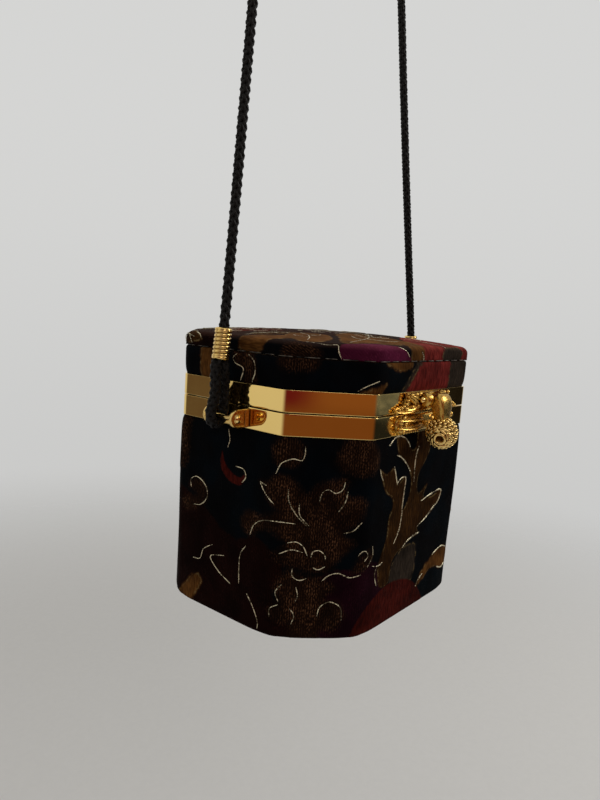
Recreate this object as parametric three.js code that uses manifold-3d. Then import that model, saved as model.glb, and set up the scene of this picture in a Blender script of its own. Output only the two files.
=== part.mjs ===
// Octagonal box purse: brocade-covered card box and lid in a two-part gilt frame, with a back hinge,
// a ball-lever clasp in front, and a black cord strap on two side lugs. It hangs by its strap.
// Millimetres, +Z up, front towards -Y. The origin is under the strap's bight, where it hangs.
import * as THREE from 'three';
import { mergeVertices } from 'three/addons/utils/BufferGeometryUtils.js';
import Module from 'manifold-3d';

const wasm = await Module();
wasm.setup();

// Overall plan at the outer faces of the gilt bands, and heights from the split between them
const halfWidth = 70;
const halfDepth = 58.5;
const cornerCut = 27.5;
const bodyDepth = 99.5;
const lidWallTop = 23;
const lidRimTop = 29.3;
const lidCrown = 31.8;

// Where the box hangs from the origin under the strap's bight
const hangDrop = 273;
const hangForward = 12.6;

// Clearances
const gap = 0.3;
const splitGap = 0.4;
const coverSlip = 0.2;
const cutOver = 1;

// Gilt frame channel
const bandHeight = 9.5;
const bandWall = 0.7;
const bandWeb = 1.0;
const bandInnerWall = 0.8;
const bandLip = 0.35;
const bandCornerRound = 1.2;

// Cloth, card and lining
const coverThickness = 0.8;
const boardThickness = 2.0;
const liningThickness = 0.6;
const edgeRound = 8;
const baseCoverThickness = 1.5;
const baseBoardThickness = 2.5;
const baseReveal = 0.3;
const topPanelInset = 0.6;
const topPanelRound = 3;
const crownMargin = 6;
const crownSides = 24;
const crownShares = [1, 0.8, 0.6, 0.4, 0.2, 0];

// Back hinge
const hingeWidth = 44;
const hingeBarrelRadius = 2.0;
const hingePinRadius = 0.8;
const hingeLeafThickness = 0.8;
const hingeLeafMargin = 1.2;
const hingeKnuckles = 5;
const hingeKnuckleGap = 0.4;

// Side lugs: two ears and a cross pin on each side
const lugCentreY = -3.5;
const lugEarSpacing = 16;
const lugEarThickness = 1.6;
const lugEarMargin = 0.75;
const lugEarRim = 0.25;
const lugPinReach = 7.2;
const lugPinRadius = 1.0;
const lugPinHeadRadius = 2.2;
const lugPinHeadHeight = 0.9;
const lugPinCrownRadius = 1.3;

// Strap
const cordRadius = 2.1;
const loopCordRadius = 2.05;
const loopSlack = 0.15;
const strandSpacing = 4.5;
const loopY = { left: -1.3, right: -4.6 };
const loopStraight = 4;
const loopBendUp = 1;
const loopWaistUp = 9;
const loopWaistIn = -4.1;
const loopWaistOut = 1.7;
const loopBack = 2.1;
const loopSteps = 24;
const ferruleRadius = 3.75;
const ferruleRibDepth = 0.4;
const ferruleRibs = 8;
const ferruleLength = 13.6;
const ferruleOut = 1.7;
const ferruleUp = 24.3;
const ferruleLean = THREE.MathUtils.degToRad(5.6);

// Clasp, with distances out from the band's front face
const plateThickness = 1.4;
const plateMargin = 0.5;
const scallopOut = 2.2;
const scallopUp = 1.1;
const leverAxisMargin = 3.4;
const leverBarrelRadius = 2.2;
const leverBarrelHalf = 4.5;
const leverEarWidth = 4;
const leverEarWeb = 3.5;
const leverPinRadius = 1.0;
const leverPinBead = 1.4;
const leverArmHalf = 3.4;
const leverArmThickness = 2.8;
const leverArmRoot = 0.9;
const leverArmRise = 1.8;
const leverArmStraight = 3;
const knobRadius = 7.8;
const knobOffPlate = 1.2;
const knobBelowCatch = 3.8;
const knobPegRadius = 1.2;
const knobPegLength = 3.5;
const knobPegRoot = 1;
const knobEyeRadius = 1.6;
const knobEyeDepth = 3.5;
const catchRadius = 1.5;
const catchSink = 1.3;
const catchMargin = 3.5;
const catchClearance = 0.5;

// Corners of the scalloped right halves of the clasp plates: distance out from the middle, and share of
// the way up the plate
const upperPlateEnds = [[29, 0], [26.5, 0.3], [22.5, 0.7], [17, 1]];
const lowerPlateEnds = [[24, 0], [28.2, 0.3], [27.8, 0.7], [24.5, 1]];

// Centre of the strap's cord from the left ferrule over the bight to the right ferrule
const strapRoute = [
  [-78.85, -13.9, -253.1], [-77.6, -13.9, -240.2], [-76.6, -13.6, -230], [-72, -11.1, -186],
  [-67.5, -8.6, -141], [-63, -6.1, -96], [-58.6, -3.4, -51], [-55.3, -2.2, -36.7],
  [-45.1, -0.9, -18.9], [-29.5, -0.3, -5.8], [-15.2, 0, 0.1], [0, 0, 2.1],
  [15.2, 0, 0.1], [29.5, -0.2, -5.8], [45.1, -0.6, -18.9], [55.3, -1.2, -36.7],
  [58.8, -1.8, -51], [63.2, -5.4, -96], [67.6, -9.1, -141], [72.1, -12.9, -186],
  [76.6, -16.5, -230], [77.6, -17.2, -240.2], [78.85, -17.2, -253.1],
];
const strapSteps = 54;
const strapSides = 8;

// Levels measured from the split between the two bands
const lowerBandTop = -splitGap / 2;
const lowerBandBottom = lowerBandTop - bandHeight;
const upperBandBottom = splitGap / 2;
const upperBandTop = upperBandBottom + bandHeight;
const boardTop = lowerBandTop - bandWeb - gap;
const lidBoardBottom = upperBandBottom + bandWeb + gap;
const baseBottom = -bodyDepth;
const baseBoardBottom = baseBottom + baseCoverThickness + gap;
const baseBoardTop = baseBoardBottom + baseBoardThickness;
const liningFloor = baseBoardTop + gap;
const lidBoardUnder = lidWallTop - boardThickness;
const lidLiningTop = lidBoardUnder - gap;
const lugLevel = (lowerBandTop + lowerBandBottom) / 2;
const leverAxisUp = upperBandTop - leverAxisMargin;
const catchUp = lowerBandBottom + catchMargin;
const knobUp = catchUp - knobBelowCatch;

// Insets of each layer from the bands' outer faces
const coverOuter = bandWall + coverSlip;
const coverInner = coverOuter + coverThickness;
const boardOuter = coverInner + gap;
const boardInner = boardOuter + boardThickness;
const liningOuter = boardInner + gap;
const liningInner = liningOuter + liningThickness;
const innerWallOuter = liningInner + gap;
const innerWallInner = innerWallOuter + bandInnerWall;

// Materials
const finish = (color, roughness, metalness = 0) =>
  new THREE.MeshStandardMaterial({ color, roughness, metalness });
const gilt = () => finish(0xd9a944, 0.18, 1);
const brocade = () => finish(0x231318, 0.9);
const card = () => finish(0xb39b78, 0.9);
const satin = () => finish(0x16130f, 0.6);
const blackCord = () => finish(0x0b0b0c, 0.75);

// A closed geometry as a solid that can be joined and cut, and back again
function toSolid(geometry) {
  const bare = geometry.clone();
  bare.deleteAttribute('normal');
  bare.deleteAttribute('uv');
  const merged = mergeVertices(bare, 1e-4);
  return new wasm.Manifold(new wasm.Mesh({
    numProp: 3,
    vertProperties: new Float32Array(merged.attributes.position.array),
    triVerts: new Uint32Array(merged.index.array),
  }));
}

function toGeometry(solid) {
  const mesh = solid.getMesh();
  const geometry = new THREE.BufferGeometry();
  geometry.setAttribute('position', new THREE.BufferAttribute(mesh.vertProperties, 3));
  geometry.setIndex(new THREE.BufferAttribute(mesh.triVerts, 1));
  return geometry;
}

const join = (...parts) => toGeometry(parts.map(toSolid).reduce((a, b) => a.add(b)));
const cut = (whole, ...tools) => toGeometry(
  tools.map(toSolid).reduce((a, b) => a.subtract(b), toSolid(whole)),
);

function piece(name, geometry, material) {
  const mesh = new THREE.Mesh(geometry, material);
  mesh.name = name;
  return mesh;
}

// The eight corners of the plan, moved in by an inset, counterclockwise from the right front
function planCorners(inset) {
  const x = halfWidth - inset;
  const y = halfDepth - inset;
  const c = cornerCut - inset * (2 - Math.SQRT2);
  const corners = [
    [x, c - y], [x, y - c], [x - c, y], [c - x, y],
    [-x, y - c], [-x, c - y], [c - x, -y], [x - c, -y],
  ];
  return corners.map(([px, py]) => new THREE.Vector2(px, py));
}

// The plan outline with each corner rounded by an arc
function tracePlan(path, inset, round) {
  const corners = planCorners(inset);
  const reach = round * Math.tan(Math.PI / 8);
  corners.forEach((corner, i) => {
    const into = corner.clone().sub(corners[(i + 7) % 8]).normalize();
    const start = corner.clone().addScaledVector(into, -reach);
    const centre = new THREE.Vector2(start.x - into.y * round, start.y + into.x * round);
    const angle = Math.atan2(start.y - centre.y, start.x - centre.x);
    if (i === 0) path.moveTo(start.x, start.y);
    else path.lineTo(start.x, start.y);
    path.absarc(centre.x, centre.y, round, angle, angle + Math.PI / 4, false);
  });
  path.closePath();
  return path;
}

// Extrusion between two levels, with both rims rounded
function extrudeUp(shape, low, high, rim = 0, rimSegments = 1, curveSegments = 3) {
  const geometry = new THREE.ExtrudeGeometry(shape, {
    depth: high - low - 2 * rim,
    bevelEnabled: rim > 0,
    bevelThickness: rim,
    bevelSize: rim,
    bevelOffset: -rim,
    bevelSegments: rimSegments,
    curveSegments,
  });
  return geometry.translate(0, 0, low + rim);
}

// Corner rounds stay concentric from the cover inwards
const layerRound = (inset) => Math.max(edgeRound - (inset - coverOuter), bandCornerRound);

const planPlate = (inset, low, high, rim, rimSegments) =>
  extrudeUp(tracePlan(new THREE.Shape(), inset, layerRound(inset)), low, high, rim, rimSegments);

function planRing(outer, inner, low, high, outerRound = layerRound(outer), rim = 0) {
  const shape = tracePlan(new THREE.Shape(), outer, outerRound);
  shape.holes.push(tracePlan(new THREE.Path(), inner, layerRound(inner)));
  return extrudeUp(shape, low, high, rim);
}

// A flat shape stood up to face the front, its back face at a distance out from the band
function faceFront(shape, out, thickness, rim = 0) {
  const geometry = extrudeUp(shape, 0, thickness, rim);
  return geometry.rotateX(Math.PI / 2).translate(0, -halfDepth - out, 0);
}

const rodAlongX = (radius, length, sides = 12) =>
  new THREE.CylinderGeometry(radius, radius, length, sides).rotateZ(Math.PI / 2);

function roundSection(radius, sides) {
  const corner = (_, i) => {
    const angle = (2 * Math.PI * i) / sides;
    return new THREE.Vector2(radius * Math.cos(angle), radius * Math.sin(angle));
  };
  return new THREE.Shape(Array.from({ length: sides }, corner));
}

function cordTube(points, radius, steps) {
  const stops = points.map((point) => new THREE.Vector3(...point));
  const curve = new THREE.CatmullRomCurve3(stops, false, 'centripetal');
  const section = roundSection(radius, strapSides);
  return new THREE.ExtrudeGeometry(section, { steps, extrudePath: curve, bevelEnabled: false });
}

// Lower box
function lowerFrame() {
  const ring = planRing(0, innerWallInner, lowerBandBottom, lowerBandTop, bandCornerRound, bandLip);
  return cut(ring, planRing(bandWall, innerWallOuter, lowerBandBottom - cutOver, lowerBandTop - bandWeb));
}

function bodyLining() {
  const whole = planPlate(liningOuter, liningFloor, boardTop);
  return cut(whole, planPlate(liningInner, liningFloor + liningThickness, boardTop + cutOver));
}

function makeBox() {
  const group = new THREE.Group();
  group.add(
    piece('lower_frame', lowerFrame(), gilt()),
    piece('body_cover', planRing(coverOuter, coverInner, baseBottom + baseReveal, boardTop), brocade()),
    piece('body_board', planRing(boardOuter, boardInner, baseBoardBottom, boardTop), card()),
    piece('body_lining', bodyLining(), satin()),
    piece('base_cover', planPlate(boardOuter, baseBottom, baseBottom + baseCoverThickness), brocade()),
    piece('base_board', planPlate(liningOuter, baseBoardBottom, baseBoardTop), card()),
  );
  return group;
}

// Lid
function upperFrame() {
  const ring = planRing(0, innerWallInner, upperBandBottom, upperBandTop, bandCornerRound, bandLip);
  return cut(ring, planRing(bandWall, innerWallOuter, upperBandBottom + bandWeb, upperBandTop + cutOver));
}

function lidBoard() {
  const whole = planPlate(boardOuter, lidBoardBottom, lidWallTop);
  return cut(whole, planPlate(boardInner, lidBoardBottom - cutOver, lidBoardUnder));
}

function lidLining() {
  const whole = planPlate(liningOuter, lidBoardBottom, lidLiningTop);
  const hollowTop = lidLiningTop - liningThickness;
  return cut(whole, planPlate(liningInner, lidBoardBottom - cutOver, hollowTop));
}

// The padded top panel: a round-edged plate with a shallow oval crown
function lidTopPanel() {
  const plate = planPlate(topPanelInset, lidWallTop + gap, lidRimTop, topPanelRound, 2);
  const crownHeight = lidCrown - lidRimTop;
  const profile = crownShares.map((share) => new THREE.Vector2(share, crownHeight * (1 - share * share)));
  const lens = new THREE.LatheGeometry([new THREE.Vector2(0, -crownHeight), ...profile], crownSides);
  lens.rotateX(Math.PI / 2);
  lens.scale(halfWidth - crownMargin, halfDepth - crownMargin, 1).translate(0, 0, lidRimTop);
  return join(plate, lens);
}

function makeLid() {
  const group = new THREE.Group();
  group.add(
    piece('upper_frame', upperFrame(), gilt()),
    piece('lid_wall_cover', planRing(coverOuter, coverInner, lidBoardBottom, lidWallTop), brocade()),
    piece('lid_board', lidBoard(), card()),
    piece('lid_lining', lidLining(), satin()),
    piece('lid_top_panel', lidTopPanel(), brocade()),
  );
  return group;
}

// Back hinge, with its axis along X just behind the bands at the split. side is -1 below, 1 above
const hingeAxisY = halfDepth + gap + hingeBarrelRadius;

function hingeLeaf(side) {
  const pitch = hingeWidth / hingeKnuckles;
  const clear = hingeBarrelRadius + gap;
  const leafY = halfDepth + gap + hingeLeafThickness / 2;
  const leafHeight = bandHeight - hingeLeafMargin - clear;
  const plate = new THREE.BoxGeometry(hingeWidth, hingeLeafThickness, leafHeight);
  const parts = [plate.translate(0, leafY, side * (clear + leafHeight / 2))];
  for (let i = side < 0 ? 0 : 1; i < hingeKnuckles; i += 2) {
    const x = (i + 0.5) * pitch - hingeWidth / 2;
    const width = pitch - hingeKnuckleGap;
    const web = new THREE.BoxGeometry(width, hingeLeafThickness, clear + gap);
    parts.push(web.translate(x, leafY, (side * (clear + gap)) / 2));
    parts.push(rodAlongX(hingeBarrelRadius, width).translate(x, hingeAxisY, 0));
  }
  const bore = rodAlongX(hingePinRadius + gap, hingeWidth + 2 * cutOver);
  return cut(join(...parts), bore.translate(0, hingeAxisY, 0));
}

function makeHinge() {
  const group = new THREE.Group();
  const pin = rodAlongX(hingePinRadius, hingeWidth).translate(0, hingeAxisY, 0);
  group.add(
    piece('hinge_leaf_lower', hingeLeaf(-1), gilt()),
    piece('hinge_leaf_upper', hingeLeaf(1), gilt()),
    piece('hinge_pin', pin, gilt()),
  );
  return group;
}

// One round-ended lug ear, standing out from the side band and pierced for the pin
function lugEar(side, y) {
  const half = bandHeight / 2 - lugEarMargin;
  const shape = new THREE.Shape();
  shape.moveTo(side * gap, -half);
  shape.lineTo(side * lugPinReach, -half);
  shape.absarc(side * lugPinReach, 0, half, -Math.PI / 2, Math.PI / 2, side < 0);
  shape.lineTo(side * gap, half);
  shape.closePath();
  const hole = new THREE.Path();
  hole.absarc(side * lugPinReach, 0, lugPinRadius + gap, 0, 2 * Math.PI, false);
  shape.holes.push(hole);
  const ear = new THREE.ExtrudeGeometry(shape, {
    depth: lugEarThickness - 2 * lugEarRim,
    bevelThickness: lugEarRim,
    bevelSize: lugEarRim,
    bevelOffset: -lugEarRim,
    bevelSegments: 1,
    curveSegments: 6,
  });
  ear.rotateX(Math.PI / 2);
  return ear.translate(side * halfWidth, y + lugEarThickness / 2 - lugEarRim, lugLevel);
}

// A headed pin turned about Y
function lugPin() {
  const half = lugEarSpacing / 2 + lugEarThickness / 2 + gap;
  const profile = [
    [0, -half - lugPinHeadHeight], [lugPinCrownRadius, -half - lugPinHeadHeight],
    [lugPinHeadRadius, -half], [lugPinRadius, -half], [lugPinRadius, half], [lugPinHeadRadius, half],
    [lugPinCrownRadius, half + lugPinHeadHeight], [0, half + lugPinHeadHeight],
  ];
  return new THREE.LatheGeometry(profile.map(([r, y]) => new THREE.Vector2(r, y)), 12);
}

function makeLug(name, side) {
  const group = new THREE.Group();
  const pin = piece(`lug_pin_${name}`, lugPin(), gilt());
  pin.position.set(side * (halfWidth + lugPinReach), lugCentreY, lugLevel);
  group.add(
    piece(`lug_ear_${name}_front`, lugEar(side, lugCentreY - lugEarSpacing / 2), gilt()),
    piece(`lug_ear_${name}_rear`, lugEar(side, lugCentreY + lugEarSpacing / 2), gilt()),
    pin,
  );
  return group;
}

// The doubled end of the strap: a loop of cord around the lug pin, in distances out and up from it. It lies a little
// farther back along the pin than under the ferrule.
function strapLoop(side) {
  const bend = lugPinRadius + gap + loopSlack + loopCordRadius;
  const diagonal = bend * Math.SQRT1_2;
  const half = strandSpacing / 2;
  const belowFerrule = (across, down) => [
    ferruleOut + across * Math.cos(ferruleLean) + down * Math.sin(ferruleLean),
    ferruleUp + across * Math.sin(ferruleLean) - down * Math.cos(ferruleLean),
  ];
  const strandTop = (across) => [belowFerrule(across, gap), belowFerrule(across, loopStraight)];
  const inward = [...strandTop(-half), [loopWaistIn, loopWaistUp], [-bend, loopBendUp]];
  const under = [[-diagonal, -diagonal], [0, -bend], [diagonal, -diagonal]];
  const outward = [[bend, loopBendUp], [loopWaistOut, loopWaistUp], ...strandTop(half).reverse()];
  const route = [...inward, ...under, ...outward].map(([out, up]) => [side * out, up > loopWaistUp ? 0 : loopBack, up]);
  return cordTube(route, loopCordRadius, loopSteps);
}

// A ferrule of close-wound wire, ribbed, with a bore for the cord
function ferrule() {
  const bore = cordRadius + gap;
  const pitch = ferruleLength / ferruleRibs;
  const profile = [new THREE.Vector2(bore, 0)];
  for (let i = 0; i < ferruleRibs; i += 1) {
    profile.push(new THREE.Vector2(ferruleRadius - ferruleRibDepth, i * pitch));
    profile.push(new THREE.Vector2(ferruleRadius, (i + 0.5) * pitch));
  }
  profile.push(new THREE.Vector2(ferruleRadius - ferruleRibDepth, ferruleLength));
  profile.push(new THREE.Vector2(bore, ferruleLength), profile[0].clone());
  return new THREE.LatheGeometry(profile, 12).rotateX(Math.PI / 2);
}

function makeStrapEnd(name, side) {
  const group = new THREE.Group();
  group.position.set(side * (halfWidth + lugPinReach), loopY[name], lugLevel);
  const sleeve = piece(`strap_ferrule_${name}`, ferrule(), gilt());
  sleeve.position.set(side * ferruleOut, 0, ferruleUp);
  sleeve.rotation.y = -side * ferruleLean;
  group.add(piece(`strap_loop_${name}`, strapLoop(side), blackCord()), sleeve);
  return group;
}

// A plate between two levels with scalloped ends, the same on both sides
function scallopedPlate(ends, low, high) {
  const corners = ends.map(([out, share]) => [out, low + share * (high - low)]);
  const middle = (low + high) / 2;
  const scallop = (shape, [x0, y0], [x1, y1], side) => {
    const length = Math.hypot(x1 - x0, y1 - y0);
    const outX = Math.abs(y1 - y0) / length;
    const outY = (Math.sign((y0 + y1) / 2 - middle) * Math.abs(x1 - x0)) / length;
    const controlX = (x0 + x1) / 2 + scallopOut * outX;
    const controlY = (y0 + y1) / 2 + scallopUp * outY;
    shape.quadraticCurveTo(side * controlX, controlY, side * x1, y1);
  };
  const shape = new THREE.Shape();
  shape.moveTo(...corners[0]);
  corners.slice(1).forEach((corner, i) => scallop(shape, corners[i], corner, 1));
  const back = [...corners].reverse();
  shape.lineTo(-back[0][0], back[0][1]);
  back.slice(1).forEach((corner, i) => scallop(shape, back[i], corner, -1));
  shape.closePath();
  return shape;
}

const leverAxisOut = gap + plateThickness + gap + leverBarrelRadius;
const knobOut = gap + plateThickness + knobOffPlate + knobRadius;
const leverAxisY = -halfDepth - leverAxisOut;
const earMiddle = leverBarrelHalf + gap + leverEarWidth / 2;

// The upper clasp plate, with two ears for the lever's pin
function claspPlate() {
  const outline = scallopedPlate(upperPlateEnds, upperBandBottom + plateMargin, upperBandTop - plateMargin);
  const plate = faceFront(outline, gap, plateThickness);
  const webOut = gap + plateThickness / 2;
  const parts = [plate];
  for (const x of [-earMiddle, earMiddle]) {
    const web = new THREE.BoxGeometry(leverEarWidth, leverAxisOut - webOut, leverEarWeb);
    parts.push(web.translate(x, -halfDepth - (leverAxisOut + webOut) / 2, leverAxisUp));
    parts.push(rodAlongX(leverBarrelRadius, leverEarWidth).translate(x, leverAxisY, leverAxisUp));
  }
  const bore = rodAlongX(leverPinRadius + gap, 2 * (earMiddle + leverEarWidth));
  return cut(join(...parts), bore.translate(0, leverAxisY, leverAxisUp));
}

function claspPin() {
  const end = earMiddle + leverEarWidth / 2 + gap;
  const bead = (side) => new THREE.SphereGeometry(leverPinBead, 10, 6)
    .translate(side * (end + leverPinBead), 0, 0);
  const rod = rodAlongX(leverPinRadius, 2 * (end + leverPinBead));
  return join(rod, bead(-1), bead(1)).translate(0, leverAxisY, leverAxisUp);
}

// The lever: a barrel on the pin and a curved arm out and down to the knob, with a peg into it
function claspLever() {
  const armEnd = knobUp + knobRadius + gap;
  const armOut = knobOut + leverArmThickness / 2;
  const armIn = armOut - leverArmThickness;
  const bendEnd = armEnd + leverArmStraight;
  const rootOut = leverAxisOut + leverArmRoot;
  const rootTop = leverAxisUp + leverArmRise;
  const rootBottom = leverAxisUp - leverArmRise;
  const shape = new THREE.Shape();
  shape.moveTo(rootOut, rootTop);
  shape.quadraticCurveTo(armOut, rootTop, armOut, bendEnd);
  shape.lineTo(armOut, armEnd);
  shape.lineTo(armIn, armEnd);
  shape.lineTo(armIn, bendEnd);
  shape.quadraticCurveTo(armIn, rootBottom, rootOut, rootBottom);
  shape.closePath();
  const stand = new THREE.Matrix4().makeBasis(
    new THREE.Vector3(0, -1, 0), new THREE.Vector3(0, 0, 1), new THREE.Vector3(-1, 0, 0),
  );
  const arm = extrudeUp(shape, -leverArmHalf, leverArmHalf, 0, 1, 6);
  arm.applyMatrix4(stand).translate(0, -halfDepth, 0);
  const barrel = rodAlongX(leverBarrelRadius, 2 * leverBarrelHalf).translate(0, leverAxisY, leverAxisUp);
  const peg = new THREE.CylinderGeometry(knobPegRadius, knobPegRadius, knobPegLength + knobPegRoot, 12)
    .rotateX(Math.PI / 2).translate(0, -halfDepth - knobOut, armEnd + (knobPegRoot - knobPegLength) / 2);
  const bore = rodAlongX(leverPinRadius + gap, 2 * leverBarrelHalf + 2 * cutOver);
  return cut(join(barrel, arm, peg), bore.translate(0, leverAxisY, leverAxisUp));
}

// The ball knob: bored for the peg, eyed at both ends, and hollowed behind to pass the catch bead
function claspKnob() {
  const y = -halfDepth - knobOut;
  const ball = new THREE.SphereGeometry(knobRadius, 20, 12).translate(0, y, knobUp);
  const holeRadius = knobPegRadius + gap;
  const pegHole = new THREE.CylinderGeometry(holeRadius, holeRadius, 2 * (knobPegLength + gap), 12)
    .rotateX(Math.PI / 2).translate(0, y, knobUp + knobRadius);
  const eye = (side) => rodAlongX(knobEyeRadius, 2 * knobEyeDepth).translate(side * knobRadius, y, knobUp);
  const slotFront = gap + plateThickness - catchSink + 2 * catchRadius + catchClearance;
  const slotTop = catchUp + catchRadius + catchClearance;
  const slotHeight = 2 * knobRadius;
  const slot = new THREE.BoxGeometry(2 * (catchRadius + catchClearance), slotFront, slotHeight)
    .translate(0, -halfDepth - slotFront / 2, slotTop - slotHeight / 2);
  return cut(ball, pegHole, eye(-1), eye(1), slot);
}

// The lower clasp plate, with the bead that the knob closes over
function claspCatch() {
  const outline = scallopedPlate(lowerPlateEnds, lowerBandBottom + plateMargin, lowerBandTop - plateMargin);
  const plate = faceFront(outline, gap, plateThickness);
  const beadOut = gap + plateThickness - catchSink + catchRadius;
  const bead = new THREE.SphereGeometry(catchRadius, 10, 6).translate(0, -halfDepth - beadOut, catchUp);
  return join(plate, bead);
}

function makeClasp() {
  const group = new THREE.Group();
  group.add(
    piece('clasp_plate', claspPlate(), gilt()),
    piece('clasp_pin', claspPin(), gilt()),
    piece('clasp_lever', claspLever(), gilt()),
    piece('clasp_knob', claspKnob(), gilt()),
    piece('clasp_catch', claspCatch(), gilt()),
  );
  return group;
}

const purse = new THREE.Group();
const hung = new THREE.Group();
hung.position.set(0, -hangForward, -hangDrop);
hung.add(makeBox(), makeLid(), makeHinge(), makeClasp());
hung.add(makeLug('left', -1), makeLug('right', 1), makeStrapEnd('left', -1), makeStrapEnd('right', 1));
purse.add(hung, piece('strap_cord', cordTube(strapRoute, cordRadius, strapSteps), blackCord()));

export default purse;
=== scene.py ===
"""Looks of the octagonal box purse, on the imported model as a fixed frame.

Sizes are in millimetres from the middle of the box on its split plane: x to the right, y to the back, z up.
make_piece() moves them into the frame, in metres.
"""

import math

import bmesh
import bpy
import numpy as np
from mathutils import Matrix, Vector


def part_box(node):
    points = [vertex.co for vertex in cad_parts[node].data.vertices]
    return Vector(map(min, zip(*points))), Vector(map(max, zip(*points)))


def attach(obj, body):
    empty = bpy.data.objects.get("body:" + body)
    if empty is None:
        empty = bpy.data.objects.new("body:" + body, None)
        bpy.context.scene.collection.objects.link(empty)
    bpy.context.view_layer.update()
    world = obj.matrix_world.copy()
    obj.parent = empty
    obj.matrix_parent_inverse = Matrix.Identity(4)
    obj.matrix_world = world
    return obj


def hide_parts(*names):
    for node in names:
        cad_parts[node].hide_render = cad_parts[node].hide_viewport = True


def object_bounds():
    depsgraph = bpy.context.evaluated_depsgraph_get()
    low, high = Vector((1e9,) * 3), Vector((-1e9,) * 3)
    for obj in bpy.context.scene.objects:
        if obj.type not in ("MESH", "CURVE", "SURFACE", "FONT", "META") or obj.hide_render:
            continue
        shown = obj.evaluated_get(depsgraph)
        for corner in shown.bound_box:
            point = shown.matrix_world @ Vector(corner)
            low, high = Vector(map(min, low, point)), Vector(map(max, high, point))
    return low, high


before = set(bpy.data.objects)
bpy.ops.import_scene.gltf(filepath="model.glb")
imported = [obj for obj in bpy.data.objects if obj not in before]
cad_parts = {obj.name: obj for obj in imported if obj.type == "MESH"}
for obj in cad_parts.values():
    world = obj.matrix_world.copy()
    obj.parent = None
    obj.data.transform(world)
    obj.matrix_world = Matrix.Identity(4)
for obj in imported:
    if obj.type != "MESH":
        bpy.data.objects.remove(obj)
cad_low, cad_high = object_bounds()
scene = bpy.context.scene

# Measures of the frame
MM = 0.001
lower_low, lower_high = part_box("lower_frame")
upper_low, upper_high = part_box("upper_frame")
SPLIT = np.array([
    (lower_low.x + lower_high.x) / 2,
    (lower_low.y + lower_high.y) / 2,
    (lower_high.z + upper_low.z) / 2,
])
HALF_WIDTH = (lower_high.x - lower_low.x) / 2 / MM
HALF_DEPTH = (lower_high.y - lower_low.y) / 2 / MM

# Box
CORNER_CUT = 27.5
COVER_INSET = 0.9
COVER_ROUND = 8.0
COVER_THICK = 0.75
BODY_SWELL = 1.45
LID_SWELL = 1.2
SWELL_RUN = 2.2
CORNER_PULL = 1.3
CORNER_SOFT = 7.0
CORNER_PULL_FROM = -30.0
CORNER_PULL_RUN = 65.0
CLOTH_STEP = 0.8
COVER_HEM = 8.6
BODY_BOTTOM = -99.2
BODY_EDGE = 2.2
LID_SEAM = 22.95
SEAM_TUCK = 0.5
SEAM_TUCK_RUN = 0.5
SEAM_THREAD = 0.15
SEAM_STEP = 0.6
SEAM_UP = 0.25
PANEL_BOTTOM = 23.3
PANEL_INSET = -0.3
PANEL_SIDE = 3.5
PANEL_ROLL = 2.8
PANEL_ROLL_SHARE = 0.05
PANEL_CROWN = 4.0
PANEL_PUCKER = 0.14
PUCKER_RINGS = 6.0
PANEL_UNDERSIDE = 0.93
BASE_BOTTOM = -99.5
BASE_TOP = -98.3
BASE_INSET = 2.3
BASE_SIDE = 0.7
BASE_ROLL_SHARE = 0.01
BASE_STEP = 1.6
LINING_INSET = 4.9
LINING_BACK = 4.4
LINING_RIM = 1.7
LINING_ROUND = 3.0
LINING_PUCKER = 0.12

# Bands
BAND_LOW = 0.28
BAND_HIGH = 9.7
BAND_CORNER_ROUND = 5.5
BAND_WALL = 0.7
BAND_INNER = 5.2
BAND_DEEP = 6.0
BAND_WEB = 1.2

# Strap
CORD_THICK = 4.9
LOOP_THICK = 5.4
BRAID_PITCH = 16.0
BRAID_STEPS = 18
BRAID_STRAND_SHARE = 0.165
BRAID_LIFT_SHARE = 0.07
BRAID_CORE_SHARE = 0.2
LUG_PIN_OUT = 77.2
LUG_PIN_UP = -4.95
LUG_EARS_BACK = (-11.5, 4.5)
EAR_THICK = 1.6
EAR_RADIUS = 4.0
EAR_RIDGE_OUT = 2.7
EAR_RIDGE_HALF = 0.4
PIN_RADIUS = 1.0
PIN_HEAD = 1.9
FERRULE_OUT = 1.7
FERRULE_UP = 24.3
FERRULE_LENGTH = 13.6
FERRULE_RADIUS = 3.75
FERRULE_TURNS = 8
FERRULE_LEAN = math.radians(5.6)
COIL_STEPS = 24
LOOP_BACK = {-1: -1.3, 1: -4.6}
LOOP_SHIFT = 2.1
STRAP_ROUTE = [
    (-78.85, -1.3, 19.9), (-77.6, -1.3, 32.8), (-76.6, -1.0, 43.0), (-72.0, 1.5, 87.0),
    (-67.5, 4.0, 132.0), (-63.0, 6.5, 177.0), (-58.6, 9.2, 222.0), (-55.3, 10.4, 236.3),
    (-45.1, 11.7, 254.1), (-29.5, 12.3, 267.2), (-15.2, 12.6, 273.1), (0.0, 12.6, 275.1),
    (15.2, 12.6, 273.1), (29.5, 12.4, 267.2), (45.1, 12.0, 254.1), (55.3, 11.4, 236.3),
    (58.8, 10.8, 222.0), (63.2, 7.2, 177.0), (67.6, 3.5, 132.0), (72.1, -0.3, 87.0),
    (76.6, -3.9, 43.0), (77.6, -4.6, 32.8), (78.85, -4.6, 19.9),
]

# Clasp
PLATE_BACK = 0.06
PLATE_FRONT = 1.7
LEVER_AXIS_OUT = 4.2
LEVER_AXIS_UP = 6.3
KNOB_OUT = 10.0
KNOB_UP = -8.9
KNOB_BACK = 3.8
KNOB_RADIUS = 7.8
KNOB_RELIEF = 1.1
EYE_ANGLE = math.radians(19)
EYE_DEPTH = 0.5
KNOB_SEAM_BEAD = 0.95

# Camera, in the frame's metres
CAMERA_AT = Vector((-0.2671, -0.2095, -0.2330))
CAMERA_YAW = math.radians(51.36)
CAMERA_PITCH = math.radians(-7.54)
CAMERA_ROLL = math.radians(-3.98)
CAMERA_LENS = 28.41

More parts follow.
